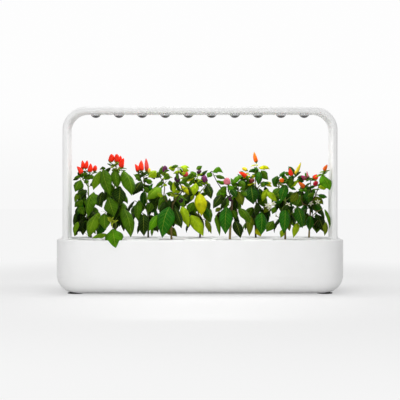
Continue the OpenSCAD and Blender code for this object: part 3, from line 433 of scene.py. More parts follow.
def stem_skin():
    """A stem streaked with bark."""
    finish = Finish("chili_stem", {"IOR": 1.4, "Specular IOR Level": 0.08})
    tone = finish.tone()
    streaks = finish.streaks(STEM_ACROSS, STEM_ALONG, 3.0)
    bark = finish.mix(1.0, tone, paint("#a09a94"), "MULTIPLY")
    finish.feed("Base Color", finish.mix(streaks.step(0.4, 0.7), tone, bark))
    finish.feed("Roughness", streaks * 0.2 + 0.45)
    finish.bump(streaks, 0.0003)
    return finish


def fruit_skin():
    """A waxy fruit that is flushed darker in places."""
    finish = Finish("chili_fruit", {"IOR": 1.45, "Coat Weight": 0.12, "Coat Roughness": 0.1,
                                    "Specular IOR Level": 0.08})
    tone = finish.tone()
    flush = finish.noise(FRUIT_FLUSH)
    wax = finish.noise(FRUIT_WAX)
    deep = finish.mix(1.0, tone, paint("#c4b0b0"), "MULTIPLY")
    finish.feed("Base Color", finish.mix(flush.step(0.45, 0.75) * 0.7, tone, deep))
    finish.feed("Roughness", flush * 0.1 + 0.22)
    finish.bump(flush + wax * 0.1, 0.0004)
    return finish


def petal_skin():
    """White petals with fine lines towards a greener throat."""
    finish = Finish("chili_petal", {"IOR": 1.4, "Specular IOR Level": 0.2})
    along = finish.part("Y", finish.chart())
    lines = finish.noise(PETAL_LINES)
    throat = finish.mix(along.step(0.35, 0.0) * 0.6, finish.tone(), paint("#bfcf7a"))
    finish.feed("Base Color", finish.mix(lines * 0.15, throat, paint("#d9d8c4")))
    finish.feed("Roughness", lines * 0.1 + 0.5)
    finish.bump(lines, 0.0002)
    return finish


STEM_SKIN = stem_skin()
FRUIT_SKIN = fruit_skin()
PETAL_SKIN = petal_skin()
print("living finishes:", LEAF_SKIN.material.name, STEM_SKIN.material.name, FRUIT_SKIN.material.name,
      PETAL_SKIN.material.name)

# %% [markdown]
# ## Dress the moulded parts
# The record says which finish each CAD node takes. A node's mesh is never touched: only the
# material in its slots changes.

# %% Dress the moulded parts
for row in frame["record"]["subparts"]:
    for holder in frame["nodes"][row["node"]].material_slots:
        holder.material = FINISHES[row["material_slot"]].material

# %% [markdown]
# ## Reading the plain plants
# The CAD model holds each plant as plain solids: a faceted stem with its branches, a folded
# lozenge for each leaf, a tapered drop for each fruit. They tell where everything grows, so the
# living parts are fitted to them one by one. First a plant's mesh is split into its bodies.

# %% Reading the plain plants
WELD = 2e-6
LEAF_POINTS, LEAF_SPOKES = 22, 4
FRUIT_POINTS, FRUIT_SPOKES = 34, 8


def bodies_of(node):
    """The separate bodies of a CAD node, each a list of vertices of one welded copy of its mesh."""
    shape = bmesh.new()
    shape.from_mesh(frame["nodes"][node].data)
    bmesh.ops.remove_doubles(shape, verts=shape.verts, dist=WELD)
    shape.verts.index_update()
    seen, found = set(), []
    for first in shape.verts:
        if first.index in seen:
            continue
        seen.add(first.index)
        body, edge = [first], [first]
        while edge:
            vertex = edge.pop()
            for link in vertex.link_edges:
                other = link.other_vert(vertex)
                if other.index not in seen:
                    seen.add(other.index)
                    body.append(other)
                    edge.append(other)
        found.append(body)
    return shape, found


def rings_of(body, spokes):
    """The rings of a tapered body, from its blunter end to its sharper one, with both end points."""
    ends = [vertex for vertex in body if len(vertex.link_edges) == spokes]
    rings, seen = [[ends[0]]], {ends[0].index}
    while len(seen) < len(body):
        ring = []
        for vertex in rings[-1]:
            for link in vertex.link_edges:
                other = link.other_vert(vertex)
                if other.index not in seen:
                    seen.add(other.index)
                    ring.append(other)
        rings.append(ring)
    rings = [[vertex.co.copy() for vertex in ring] for ring in rings]
    if reach_across(rings[1]) < reach_across(rings[-2]):
        rings.reverse()
    return rings


def reach_across(points):
    """The greatest distance between two of the points."""
    return max((a - b).length for a in points for b in points)


shape, found = bodies_of("chili_plant_1")
print("plant 1 has bodies of", sorted(len(body) for body in found), "points")
shape.free()

# %% [markdown]
# ## One leaf
# A leaf could be a flat card with a picture of a leaf on it, but its outline, fold and curl are
# what one sees. So a grid is bent along a midrib into a smooth oval with a drawn-out tip. First
# comes what the grid is bent to: a Blade knows its midrib, half width and upper side anywhere.

# %% The blade of a leaf
MM = 0.001
WIDER = 1.1
NEAR = 0.02
TWIST_FROM = 0.3
OUTLINE_MARKS = [0, 0.03, 0.08, 0.16, 0.28, 0.42, 0.56, 0.7, 0.82, 0.92, 1]
OUTLINE_SHARES = [0, 0.25, 0.51, 0.77, 0.96, 1, 0.93, 0.76, 0.51, 0.22, 0]
MID_PLACES = (0.2, 0.4, 0.6, 0.8)


def glide(marks, values, at):
    """A smooth run through the values that are given at rising marks, read at one place."""
    last = len(marks) - 1
    k = max(0, min(sum(mark <= at for mark in marks), last) - 1)
    span = marks[k + 1] - marks[k]
    s = (at - marks[k]) / span

    def slope(j):
        low, high = max(j - 1, 0), min(j + 1, last)
        return (values[high] - values[low]) / (marks[high] - marks[low])

    ease = s * s * (3 - 2 * s)
    run = values[k] * (1 - ease) + values[k + 1] * ease
    return run + (slope(k) * (1 - s) - slope(k + 1) * s) * (span * s * (1 - s))


class Blade:
    """The midrib, half width and upper side of a leaf, readable at any place along it."""

    def __init__(self, base, mids, tip, face, width):
        self.base, self.mids, self.tip, self.face, self.width = base, mids, tip, face, width
        self.length = (tip - base).length
        axis = (tip - base) / self.length
        self.marks = [0.0] + [(mid - base).dot(axis) / self.length for mid in mids] + [1.0]
        self.twist = 0.0

    def middle(self, at):
        return glide(self.marks, [self.base] + self.mids + [self.tip], at)

    def half(self, at):
        return self.width * max(0.0, glide(OUTLINE_MARKS, OUTLINE_SHARES, at))

    def lie(self, at):
        """The directions across the leaf and out of its upper side."""
        run = self.middle(min(at + NEAR, 1.0)) - self.middle(max(at - NEAR, 0.0))
        up = (self.face - run * (self.face.dot(run) / run.length_squared)).normalized()
        side = run.cross(up).normalized()
        turn = self.twist * (at - TWIST_FROM)
        return side * math.cos(turn) + up * math.sin(turn), up * math.cos(turn) - side * math.sin(turn)


def plain_blade(body):
    """The blade that a plain leaf of the CAD model stands for."""
    rings = rings_of(body, LEAF_SPOKES)
    mids, face, width = [], Vector((0, 0, 0)), 0.0
    for ring in rings[1:-1]:
        left, right = max(((a, b) for a in ring for b in ring), key=lambda pair: (pair[0] - pair[1]).length)
        ribs = [point for point in ring if point is not left and point is not right]
        mids.append((ribs[0] + ribs[1]) / 2)
        face += mids[-1] - (left + right) / 2
        width = max(width, (left - right).length / 2)
    return Blade(rings[0][0], mids, rings[-1][0], face.normalized(), width * WIDER)


def free_blade(base, tip, face, width, arch=0.16):
    """A blade from base to tip that arches towards its upper side."""
    run = tip - base
    out = (face - run * (face.dot(run) / run.length_squared)).normalized()
    mids = [base + run * at + out * (arch * run.length * 4 * at * (1 - at)) for at in MID_PLACES]
    return Blade(base, mids, tip, out, width / 2)


shape, found = bodies_of("chili_plant_1")
sample = plain_blade([body for body in found if len(body) == LEAF_POINTS][0])
print("a leaf is", round(sample.length / MM), "mm long and", round(2 * sample.width / MM), "mm wide")
shape.free()

# %% [markdown]
# Now the grid is bent to the blade. The halves fold down from the midrib, the edges ripple, the
# skin puffs up a little between them, and the tip curls. Dice give each leaf its own measure of
# all that. A Solidify modifier gives the blade its thickness later.

# %% Bend a grid to a blade
BLADE_THICK = 0.45 * MM
ACROSS, ALONG = 8, 18
SMALL_ACROSS, SMALL_ALONG = 6, 12
TWIST = 0.5
WAVES = (2.0, 3.2)
TINTS = (0.88, 1.12)
FOLDS = (0.38, 0.8)
CURLS = (0.1, 0.35)
CURL_FROM = 0.6
RIPPLE = 0.08
PUFF = 0.06


def grow_blade(shape, leaf, tone, dice, across_steps=ACROSS, along_steps=ALONG):
    """Bends a grid to a blade, with its UV map and its own green."""
    chart = shape.loops.layers.uv.verify()
    colour = shape.verts.layers.float_color["tone"]
    phase = [dice.uniform(0, math.tau) for _ in range(2)]
    waves = dice.uniform(*WAVES)
    tint = dice.uniform(*TINTS)
    fold = dice.uniform(*FOLDS)
    curl = dice.uniform(*CURLS) * leaf.length
    leaf.twist = dice.uniform(-TWIST, TWIST)
    grid = bmesh.ops.create_grid(shape, x_segments=across_steps, y_segments=along_steps, size=1)["verts"]
    for vertex in grid:
        at = (vertex.co.y + 1) / 2
        # Rows stand closer together near both ends, where the outline turns most.
        vertex.co.y = at - math.sin(math.tau * at) / (2 * math.tau)
    for face in {face for vertex in grid for face in vertex.link_faces}:
        face.smooth = True
        for loop in face.loops:
            loop[chart].uv = (loop.vert.co.x / 2 + 0.5, loop.vert.co.y)
    rows = {}
    for vertex in grid:
        across, at = vertex.co.x, vertex.co.y
        if at not in rows:
            rows[at] = (leaf.middle(at), leaf.half(at), *leaf.lie(at))
        middle, half, side, up = rows[at]
        edge = abs(across)
        wave = math.sin(waves * math.tau * at + phase[across > 0]) * RIPPLE * edge ** 2
        puff = math.sin(math.pi * edge) * PUFF
        drop = fold * edge ** 1.5
        sink = curl * max(0.0, at - CURL_FROM) ** 2
        vertex.co = middle + side * across * half + up * ((wave + puff - drop) * half - sink)
        vertex[colour] = [value * tint for value in tone[:3]] + [1.0]


print("a large leaf is a grid of", ACROSS, "by", ALONG, "segments")

# %% [markdown]
# ## A tube on a path
# Leaf ribs and leaf stalks are thin tubes. A short grid is rolled up round the path and welded
# along its seam. Where the radius goes to nothing, as at both ends of a rib, the tube closes. A
# stalk keeps its radius from end to end: it starts inside a stem and ends under a leaf.

# %% A tube on a path
TUBE_SIDES = 6
TUBE_STEPS = 10
STEP_ASIDE = 0.001
CROSSWAYS = Vector((0.3, 1, 0.2))


def roll_tube(shape, path, radius, tone, steps=TUBE_STEPS):
    """A tube whose centre is path(t) and whose radius is radius(t), for t from 0 to 1."""
    colour = shape.verts.layers.float_color["tone"]
    grid = bmesh.ops.create_grid(shape, x_segments=TUBE_SIDES, y_segments=steps, size=1)["verts"]
    for face in {face for vertex in grid for face in vertex.link_faces}:
        face.smooth = True
    for vertex in grid:
        turn, at = math.pi * (vertex.co.x + 1), (vertex.co.y + 1) / 2
        axis = (path(min(at + STEP_ASIDE, 1)) - path(max(at - STEP_ASIDE, 0))).normalized()
        u = axis.cross(CROSSWAYS).normalized()
        v = axis.cross(u)
        vertex.co = path(at) + (u * math.cos(turn) + v * math.sin(turn)) * radius(at)
        vertex[colour] = tone
    bmesh.ops.remove_doubles(shape, verts=grid, dist=WELD)


print("a tube has", TUBE_SIDES, "sides")

# %% [markdown]
# ## One fruit
# A chili is a solid of revolution that grew a little crooked: an outline is spun about the
# fruit's own line and then bent. Its shoulder and its tip are darker than the rest.

# %% One fruit
LONG_FRUIT = ([0, 0.03, 0.1, 0.26, 0.5, 0.75, 0.92, 1], [0.3, 0.66, 0.9, 1.0, 0.9, 0.6, 0.26, 0])
ROUND_FRUIT = ([0, 0.04, 0.16, 0.4, 0.62, 0.82, 0.95, 1], [0.3, 0.6, 0.88, 1.0, 0.95, 0.7, 0.36, 0])
FRUIT_STEPS = 14
FRUIT_SIDES = 24
FRUIT_SWELL = 1.12
SLENDER = 3.5
FRUIT_BEND = 0.25
LUMPS = 3
LUMP_TALL = 0.035
LUMP_TWIST = 4
SHOULDER_TONE = 0.82
SHOULDER_ENDS = 3
TIP_DARK = 0.5
TIP_SHARE = 0.1


def lay_along(points, base, tip):
    """Moves points that were built up the Z axis on to the line from base to tip."""
    turn = Vector((0, 0, 1)).rotation_difference(tip - base)
    for vertex in points:
        vertex.co = base + turn @ vertex.co


def grow_fruit(shape, body, tone, dice):
    """Spins a fruit over a plain one, and gives back its line and its radius."""
    rings = rings_of(body, FRUIT_SPOKES)
    base, tip = rings[0][0], rings[-1][0]
    length = (tip - base).length
    radius = max(reach_across(ring) for ring in rings) / 2 * FRUIT_SWELL
    marks, shares = LONG_FRUIT if length > SLENDER * radius else ROUND_FRUIT
    colour = shape.verts.layers.float_color["tone"]
    outline = [shape.verts.new((glide(marks, shares, k / FRUIT_STEPS) * radius, 0, length * k / FRUIT_STEPS))
               for k in range(FRUIT_STEPS + 1)]
    outline.insert(0, shape.verts.new((0, 0, 0)))
    edges = [shape.edges.new(pair) for pair in zip(outline, outline[1:])]
    before = set(shape.verts) - set(outline)
    bmesh.ops.spin(shape, geom=outline + edges, axis=(0, 0, 1), cent=(0, 0, 0), angle=math.tau,
                   steps=FRUIT_SIDES, use_merge=True)
    bmesh.ops.remove_doubles(shape, verts=[v for v in shape.verts if v not in before], dist=WELD)
    skin = [v for v in shape.verts if v not in before]
    faces = list(dict.fromkeys(face for vertex in skin for face in vertex.link_faces))
    bmesh.ops.recalc_face_normals(shape, faces=faces)
    bend = dice.uniform(-FRUIT_BEND, FRUIT_BEND) * radius
    lumps = dice.uniform(0, math.tau)
    for face in faces:
        face.smooth = True
    for vertex in skin:
        at = vertex.co.z / length
        round_it = math.atan2(vertex.co.y, vertex.co.x)
        swell = 1 + LUMP_TALL * math.sin(LUMPS * round_it + lumps + LUMP_TWIST * at)
        shade = SHOULDER_TONE + (1 - SHOULDER_TONE) * min(1, at * SHOULDER_ENDS)
        shade -= TIP_DARK * max(0.0, at - (1 - TIP_SHARE)) / TIP_SHARE
        bow = bend * math.sin(math.pi * at)
        vertex.co = Vector((vertex.co.x * swell + bow, vertex.co.y * swell, vertex.co.z))
        vertex[colour] = [value * shade for value in tone[:3]] + [1.0]
    lay_along(skin, base, tip)
    return base, tip, radius


print("a fruit has", (FRUIT_STEPS + 1) * FRUIT_SIDES, "faces")

# %% [markdown]
# A fruit hangs from a green cup: a low cone, a little wider at its rim, which has five points.
# All its measures are shares of the fruit's radius.

# %% The cup on a fruit
CUP_POINTS = 5
CUP_FOOT = 0.35
CUP_RIM = 0.86
CUP_TALL = 0.5
CUP_POINT_TALL = 0.45
CUP_POINT_FLARE = 0.14
CUP_SEAT = 0.12


def grow_cup(shape, base, tip, radius, tone):
    """The green cup on a fruit's shoulder."""
    colour = shape.verts.layers.float_color["tone"]
    cup = bmesh.ops.create_cone(shape, cap_ends=True, segments=CUP_POINTS * 4, radius1=CUP_FOOT * radius,
                                radius2=CUP_RIM * radius, depth=radius * CUP_TALL)["verts"]
    for vertex in cup:
        turn = math.atan2(vertex.co.y, vertex.co.x)
        if vertex.co.z > 0:
            point = max(0.0, math.cos(CUP_POINTS * turn))
            vertex.co.z += CUP_POINT_TALL * radius * point
            vertex.co.xy *= 1 + CUP_POINT_FLARE * point
        vertex.co.z += radius * CUP_SEAT
        vertex[colour] = tone
    for face in {face for vertex in cup for face in vertex.link_faces}:
        face.smooth = True
    lay_along(cup, base, tip)


print("a cup has", CUP_POINTS, "points")

# %% [markdown]
# ## Stems
# The plain stem is a bundle of six-sided tubes with knots at the forks. A voxel remesh melts
# them into one skin, smoothing rounds the forks as growth does, and a decimation brings the
# count of faces down again. Modifiers do all three, and their result is kept as a mesh.

# %% Stems
VOXEL = 0.45 * MM
STEM_KEPT = 0.35


def melt(name, body):
    """A smooth mesh made from one faceted body."""
    plain = bmesh.new()
    copies = {vertex.index: plain.verts.new(vertex.co) for vertex in body}
    for face in sorted({face for vertex in body for face in vertex.link_faces}, key=lambda f: f.index):
        plain.faces.new([copies[vertex.index] for vertex in face.verts])
    mesh = bpy.data.meshes.new(name)
    plain.to_mesh(mesh)
    plain.free()
    mould = bpy.data.objects.new(name, mesh)
    bpy.context.scene.collection.objects.link(mould)
    fuse = mould.modifiers.new("fuse", "REMESH")
    fuse.mode = "VOXEL"
    fuse.voxel_size = VOXEL
    ease = mould.modifiers.new("ease", "SMOOTH")
    ease.factor = 0.5
    ease.iterations = 4
    thin = mould.modifiers.new("thin", "DECIMATE")
    thin.ratio = STEM_KEPT
    result = bpy.data.meshes.new_from_object(mould.evaluated_get(bpy.context.evaluated_depsgraph_get()))
    bpy.data.objects.remove(mould)
    bpy.data.meshes.remove(mesh)
    return result


print("stems are melted in cells of", round(VOXEL / MM, 2), "mm")

# %% [markdown]
# ## The greens and the reds
# Nine plants of several kinds share the garden, so each has its own list of leaf colours, from
# its highest leaf down, and of fruit colours, from left to right. The leaf colours are partly each
# leaf's own green and partly painted light and shade: a leaf that sits in light is given a lighter
# green, one in shade a darker one. Stems go from a woody colour at the foot to a fresh one at the top.

# %% The greens and the reds
GREENS = {
    "leaf": "#426c05", "light": "#5f860c", "bright": "#4f8c06", "lime": "#98b410", "yellow": "#c6c60c",
    "olive": "#5c6c0a", "dark": "#163405", "deep": "#165408", "emerald": "#1c640c", "blue": "#124c0c",
    "night": "#0b2606", "bud": "#a2b030", "petal": "#e6e4cc",
}
# Words such as light, bright, dark and night are partly painted light and shade on single leaves.
LEAF_TONES = {
    1: "leaf leaf leaf dark leaf light leaf leaf leaf leaf dark dark light light",
    2: "leaf leaf light leaf leaf dark dark leaf leaf leaf night light leaf bright light",
    3: "leaf night light deep leaf dark leaf leaf leaf dark leaf leaf",
    4: "leaf lime lime leaf leaf leaf lime leaf leaf emerald dark leaf bright olive",
    5: "lime leaf leaf leaf lime dark yellow leaf yellow olive dark leaf leaf lime leaf lime olive",
    6: "bright bright leaf leaf leaf blue olive dark leaf emerald olive leaf leaf leaf leaf night",
    7: "yellow deep leaf deep deep leaf blue deep lime leaf olive leaf emerald olive yellow",
    8: "deep leaf emerald leaf lime leaf olive deep leaf deep emerald leaf leaf olive lime lime",
    9: "bright deep leaf lime deep leaf olive leaf deep leaf leaf night deep olive",
}
REDS = {
    "red": "#fb3012", "rose": "#c8403a", "yellow": "#dfcf34", "purple": "#6a2c58", "plum": "#3c1634",
    "black": "#220f1c", "pink": "#d87480", "orange": "#ee6a1a", "brown": "#6e2a20", "magenta": "#b83870",
    "crimson": "#b0142a",
}
FRUIT_TONES = {
    1: "red red red red red", 2: "red red red red", 3: "red red rose yellow", 4: "purple plum black",
    5: "rose plum purple", 6: "pink plum", 7: "yellow red brown orange", 8: "orange red yellow",
    9: "orange magenta pink red crimson orange",
}
STEM_TONES = {
    1: ("#5d5a2c", "#7d9a3e"), 2: ("#6b7a34", "#9bb84a"), 3: ("#4a4a24", "#7d9a3e"),
    4: ("#a08c54", "#54502c"), 5: ("#4e3f24", "#7a8a34"), 6: ("#b09c62", "#3d2a34"),
    7: ("#4a3c28", "#5d6a30"), 8: ("#8a7a42", "#7d9440"), 9: ("#a3905a", "#5a4a30"),
}
print("leaves to grow:", sum(len(words.split()) for words in LEAF_TONES.values()))

# %% [markdown]
# ## Where new leaves may grow
# The plain plants only hold the leaves that shape the crown. A living crown is also full of
# shaded leaves inside and behind, and of young ones near its top and under the fruit. They get
# random places from a seeded dice, so every run gives the same plant, and they keep to their
# own plant's share of the deck: pods lift straight out, and neighbours must not comb through
# each other. Each hangs on a stalk that springs from the nearest stem.

# %% Where new leaves may grow
ROOM_ASIDE = 52 * MM
ROOM_BEHIND = 33 * MM
CAP_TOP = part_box("cup_1")[1].z
STALK_RADIUS = 0.7 * MM
STALK_STEPS = 8
STALK_ARCH = 0.3
STALK_CLIMB = 2


def middle_of_pod(number):
    """The middle of a pod's cap, from which places in its plant are counted."""
    low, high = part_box(f"cup_{number}")
    return Vector(((low.x + high.x) / 2, (low.y + high.y) / 2, CAP_TOP))


def keeps_room(points, aside):
    """Whether points, counted from the middle of a pod, keep to the plant's share of the deck."""
    return all(abs(point.x) <= aside and abs(point.y) <= ROOM_BEHIND for point in points)


def hold(stems, end, points, tone):
    """A stalk that springs from the nearest stem point below and arches over to its end."""
    root = min(points, key=lambda point: (point - end).length + STALK_CLIMB * max(0.0, point.z - end.z))
    over = (root + end) / 2 + Vector((0, 0, STALK_ARCH)) * (end - root).length

    def path(at):
        return root * (1 - at) ** 2 + over * (2 * at * (1 - at)) + end * at ** 2

    roll_tube(stems, path, lambda at: STALK_RADIUS, tone, STALK_STEPS)


print("a plant may reach", round(ROOM_ASIDE / MM), "mm aside and", round(ROOM_BEHIND / MM), "mm behind")

# %% [markdown]
# The shaded leaves hang down, long and dark, from anywhere on the stems up to a height that
# each plant has of its own. Their dark greens are painted shade, for the shade inside and behind
# a crown. Ranges of length and distance are in millimetres, and those of lean, drop and width are
# shares of the leaf's length.

# %% Shaded leaves
LOWEST_TIP = 6 * MM
SHADE = {1: (21, 100), 2: (15, 112), 3: (19, 104), 4: (14, 92), 5: (13, 96), 6: (15, 96), 7: (17, 118),
         8: (13, 100), 9: (13, 92)}
# Dark greens that are painted shade for leaves inside and behind a crown.
PAINTED_SHADE_TONES = "dark night deep dark leaf"
SHADE_FACE = Vector((0, -0.5, 0.7))
SHADE_SWING = 0.35
SHADE_FLAT = 0.8
SHADE_LONG = (30, 50)
SHADE_OUT = (6, 22)
SHADE_UP = (2, 9)
SHADE_LEAN = (0.1, 0.5)
SHADE_DROP = (0.6, 0.9)
SHADE_WIDE = (0.46, 0.62)
SHADE_ASIDE = 0.25


def grow_shade(shape, stems, number, points, dice):
    """The shaded leaves inside and behind a crown, in dark greens that are painted shade."""
    count, top = SHADE[number]
    home = middle_of_pod(number)
    words = PAINTED_SHADE_TONES.split()
    grown = 0
    while grown < count:
        root = dice.choice(points)
        swing = dice.uniform(-SHADE_SWING, math.pi + SHADE_SWING)
        out = Vector((math.cos(swing), math.sin(swing) * SHADE_FLAT, 0))
        length = dice.uniform(*SHADE_LONG) * MM
        base = root + out * dice.uniform(*SHADE_OUT) * MM + Vector((0, 0, dice.uniform(*SHADE_UP) * MM))
        lean, drop = dice.uniform(*SHADE_LEAN), dice.uniform(*SHADE_DROP)
        tip = base + out * length * lean - Vector((0, 0, length * drop))
        near = [point - home for point in (base, tip)]
        if base.z - home.z > top * MM or tip.z - home.z < LOWEST_TIP:
            continue
        if not keeps_room(near, ROOM_ASIDE - length * SHADE_ASIDE):
            continue
        # The leaf's dark green is painted shade.
        tone = paint(GREENS[words[grown % len(words)]])
        leaf = free_blade(base, tip, out + SHADE_FACE, length * dice.uniform(*SHADE_WIDE))
        grow_blade(shape, leaf, tone, dice, SMALL_ACROSS, SMALL_ALONG)
        hold(stems, base, points, tone)
        grown += 1
    return grown


print("shaded leaves to grow:", sum(count for count, _ in SHADE.values()))

# %% [markdown]
# The young leaves fill the upper part of a crown. They are short, and stand out in all
# directions, some up and some down.

# %% Young leaves in the crowns
CROWN = {1: 12, 2: 10, 3: 24, 4: 26, 5: 28, 6: 18, 7: 25, 8: 15, 9: 18}
CROWN_WORDS = 5
CROWN_FACE = Vector((0, -0.7, 0.8))
CROWN_TURN = 0.2
CROWN_FLAT = 0.6
CROWN_LOW = 84 * MM
CROWN_TOP = 158 * MM
CROWN_LONG = (20, 30)
CROWN_OUT = (2, 9)
CROWN_UP = (0, 5)
CROWN_LEAN = (0.5, 0.9)
CROWN_RISE = (-0.5, 0.8)
CROWN_WIDE = (0.42, 0.56)
CROWN_ARCH = 0.12
CROWN_ASIDE = ROOM_ASIDE - 4 * MM


def grow_crown(shape, stems, number, points, dice):
    """The young leaves that fill the upper part of a crown."""
    home = middle_of_pod(number)
    high = [point for point in points if point.z - home.z > CROWN_LOW]
    # The crown's greens come from its plant's list, so they are partly painted light and shade; the added
    # dark is painted shade.
    words = LEAF_TONES[number].split()[:CROWN_WORDS] + ["dark"]
    grown = 0
    while grown < CROWN[number]:
        root = dice.choice(high)
        swing = dice.uniform(0, math.tau)
        out = Vector((math.cos(swing), math.sin(swing) * CROWN_FLAT, 0))
        length = dice.uniform(*CROWN_LONG) * MM
        base = root + out * dice.uniform(*CROWN_OUT) * MM + Vector((0, 0, dice.uniform(*CROWN_UP) * MM))
        lean, rise = dice.uniform(*CROWN_LEAN), dice.uniform(*CROWN_RISE)
        tip = base + out * length * lean + Vector((0, 0, length * rise))
        near = [point - home for point in (base, tip)]
        if max(point.z for point in near) > CROWN_TOP or not keeps_room(near, CROWN_ASIDE):
            continue
        tone = paint(GREENS[words[grown % len(words)]])
        face = CROWN_FACE - out * CROWN_TURN
        leaf = free_blade(base, tip, face, length * dice.uniform(*CROWN_WIDE), CROWN_ARCH)
        grow_blade(shape, leaf, tone, dice, SMALL_ACROSS, SMALL_ALONG)
        hold(stems, base, points, tone)
        grown += 1
    return grown


print("young leaves to grow:", sum(CROWN.values()))

# %% [markdown]
# A sprig is a few small leaves that spread from one place. One grows under each fruit, and a
# few more stand where a plant is putting out new growth. A sprig's place is in millimetres
# from the middle of its pod.

# %% Sprigs
SPRIGS = {
    2: [(0, -4, 158, "bud"), (6, -2, 150, "bud"), (0, -42, 36, "bud"), (-4, -40, 42, "bud")],
    4: [(-12, -6, 134, "lime"), (6, -8, 92, "bud")],
    5: [(-20, -6, 128, "yellow"), (2, -6, 128, "lime")],
    6: [(-16, -4, 124, "bright"), (20, -4, 116, "leaf")],
    7: [(6, -4, 140, "leaf")],
    8: [(2, -8, 126, "leaf"), (-10, -6, 118, "olive")],
    9: [(20, -52, 138, "lime"), (-8, -6, 116, "leaf"), (28, -54, 146, "lime")],
}
SPRIG_LEAVES, SPRIG_SIZE = 5, 13 * MM
FRUIT_SPRIG_LEAVES, FRUIT_SPRIG_SIZE = 3, 11 * MM
FRUIT_SPRIG_BELOW = 7 * MM
SPRIG_FACE = Vector((0, -0.6, 1))
SPRIG_TURN = 0.3
SPRIG_SPREAD = 0.25
SPRIG_RISE = (-0.5, 0.7)
SPRIG_LONG = (0.7, 1.25)
SPRIG_WIDE = (0.36, 0.5)
SPRIG_ARCH = 0.1
TINY_ACROSS, TINY_ALONG = 4, 8


def grow_sprig(shape, stems, at, points, word, dice, count, size):
    """A few small leaves that spread from one place, and the stalk that carries them."""
    tone = paint(GREENS[word])
    first = dice.uniform(0, math.tau)
    for k in range(count):
        turn = first + math.tau * (k + dice.uniform(-SPRIG_SPREAD, SPRIG_SPREAD)) / count
        out = Vector((math.cos(turn), math.sin(turn), dice.uniform(*SPRIG_RISE))).normalized()
        tip = at + out * size * dice.uniform(*SPRIG_LONG)
        face = SPRIG_FACE - out * SPRIG_TURN
        leaf = free_blade(at, tip, face, size * dice.uniform(*SPRIG_WIDE), SPRIG_ARCH)
        grow_blade(shape, leaf, tone, dice, TINY_ACROSS, TINY_ALONG)
    hold(stems, at, points, tone)


print("sprigs of their own:", sum(len(places) for places in SPRIGS.values()))

# %% [markdown]
# Chilies flower white: five pointed petals, which are small blades, nod round a yellow-green
# knob. Their places are counted as those of sprigs are.

# %% Flowers
FLOWERS = {7: [(27, -14, 72), (33, -10, 66)], 8: [(4, -18, 74), (-34, -10, 72), (-27, -14, 76)],
           9: [(2, -16, 76), (17, -18, 80)]}
FLOWER_TURN = 0.4
FLOWER_NOD = (-0.4, 0.2)
PETALS = 5
PETAL = 6.5 * MM
PETAL_WIDE = 0.42
PETAL_ARCH = 0.08
PETAL_ACROSS, PETAL_ALONG = 4, 6
PETAL_BACK = 0.15
KNOB = 2.4 * MM
KNOB_RADIUS = 1.1 * MM
KNOB_STEPS = 6
STALK_BACK = 0.5 * MM


def grow_flower(shape, stems, at, points, dice):
    """A nodding white flower: five pointed petals round a small yellow-green knob."""
    face = Vector((dice.uniform(-FLOWER_TURN, FLOWER_TURN), -1, dice.uniform(*FLOWER_NOD))).normalized()
    side = face.cross(Vector((0, 0, 1))).normalized()
    rise = side.cross(face)
    spin = dice.uniform(0, math.tau)
    for k in range(PETALS):
        turn = spin + math.tau * k / PETALS
        out = side * math.cos(turn) + rise * math.sin(turn) - face * PETAL_BACK
        petal = free_blade(at, at + out * PETAL, face, PETAL * PETAL_WIDE, PETAL_ARCH)
        grow_blade(shape, petal, paint(GREENS["petal"]), dice, PETAL_ACROSS, PETAL_ALONG)
    knob = at + face * KNOB
    roll_tube(stems, lambda t: at * (1 - t) + knob * t, lambda t: KNOB_RADIUS * math.sin(math.pi * t) ** 0.5,
              paint(GREENS["bud"]), KNOB_STEPS)
    hold(stems, at - face * STALK_BACK, points, paint(GREENS["light"]))


print("flowers to grow:", sum(len(places) for places in FLOWERS.values()))

# %% [markdown]
# ## Pieces that stand for the plain plants
# Every plant becomes up to four pieces: leaves, fruits, stems and flowers. They ride on the
# plant's own pod, so they lift out of the deck with it, and stand for its plain solids.

# %% Pieces that stand for the plain plants
def new_shape():
    """An empty bmesh whose points can keep a colour."""
    shape = bmesh.new()
    shape.verts.layers.float_color.new("tone")
    return shape


def finished_piece(name, shape, finish, number, thick=0.0):
    """Turns a bmesh into a piece that rides on a plant's pod and stands for the plain plant."""
    bmesh.ops.remove_doubles(shape, verts=shape.verts, dist=WELD)
    mesh = bpy.data.meshes.new(name)
    shape.to_mesh(mesh)
    shape.free()
    mesh.materials.append(finish.material)
    piece = bpy.data.objects.new(name, mesh)
    bpy.context.scene.collection.objects.link(piece)
    if thick:
        blade = piece.modifiers.new("blade", "SOLIDIFY")
        blade.thickness = thick
        blade.offset = 0
    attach(piece, f"pod_{number}")
    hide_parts(f"chili_plant_{number}")


print("a leaf blade is", round(BLADE_THICK / MM, 2), "mm thick")

# %% [markdown]
# ## Leaves of one plant
# First the leaves of the plain plant, each with a raised rib under it, then the shaded and the
# young ones, the sprigs, and the flowers where a plant has any. Only thin blades need Solidify,
# so stalks, ribs and the flowers' knobs go to the stems' piece.

# %% Leaves of one plant
RIB_REACH = 0.62
RIB_RADIUS = 0.62 * MM
RIB_BEHIND = 1 * MM
RIB_ROOT = 0.05
RIB_SINK = 0.8
RIB_LEAD = 8
RIB_SWELLS = 30
RIB_FADES = 0.8
RIB_PALE = 0.25


def grow_rib(stems, leaf, tone):
    """The raised midrib under a leaf, which fades out past the leaf's middle."""
    back = (leaf.base - leaf.middle(RIB_ROOT)).normalized() * RIB_BEHIND
    start = RIB_BEHIND / leaf.length

    def rib(at):
        along = max(0.0, at * (1 + start) - start) * RIB_REACH
        sink = leaf.lie(along)[1] * BLADE_THICK * RIB_SINK
        return leaf.middle(along) - sink + back * max(0.0, 1 - at * RIB_LEAD)

    def radius(at):
        return RIB_RADIUS * (1 - at) ** RIB_FADES * min(1.0, at * RIB_SWELLS)

    pale = [(1 - RIB_PALE) * value + RIB_PALE * other for value, other in zip(tone, paint("#9fb548"))]
    roll_tube(stems, rib, radius, pale)


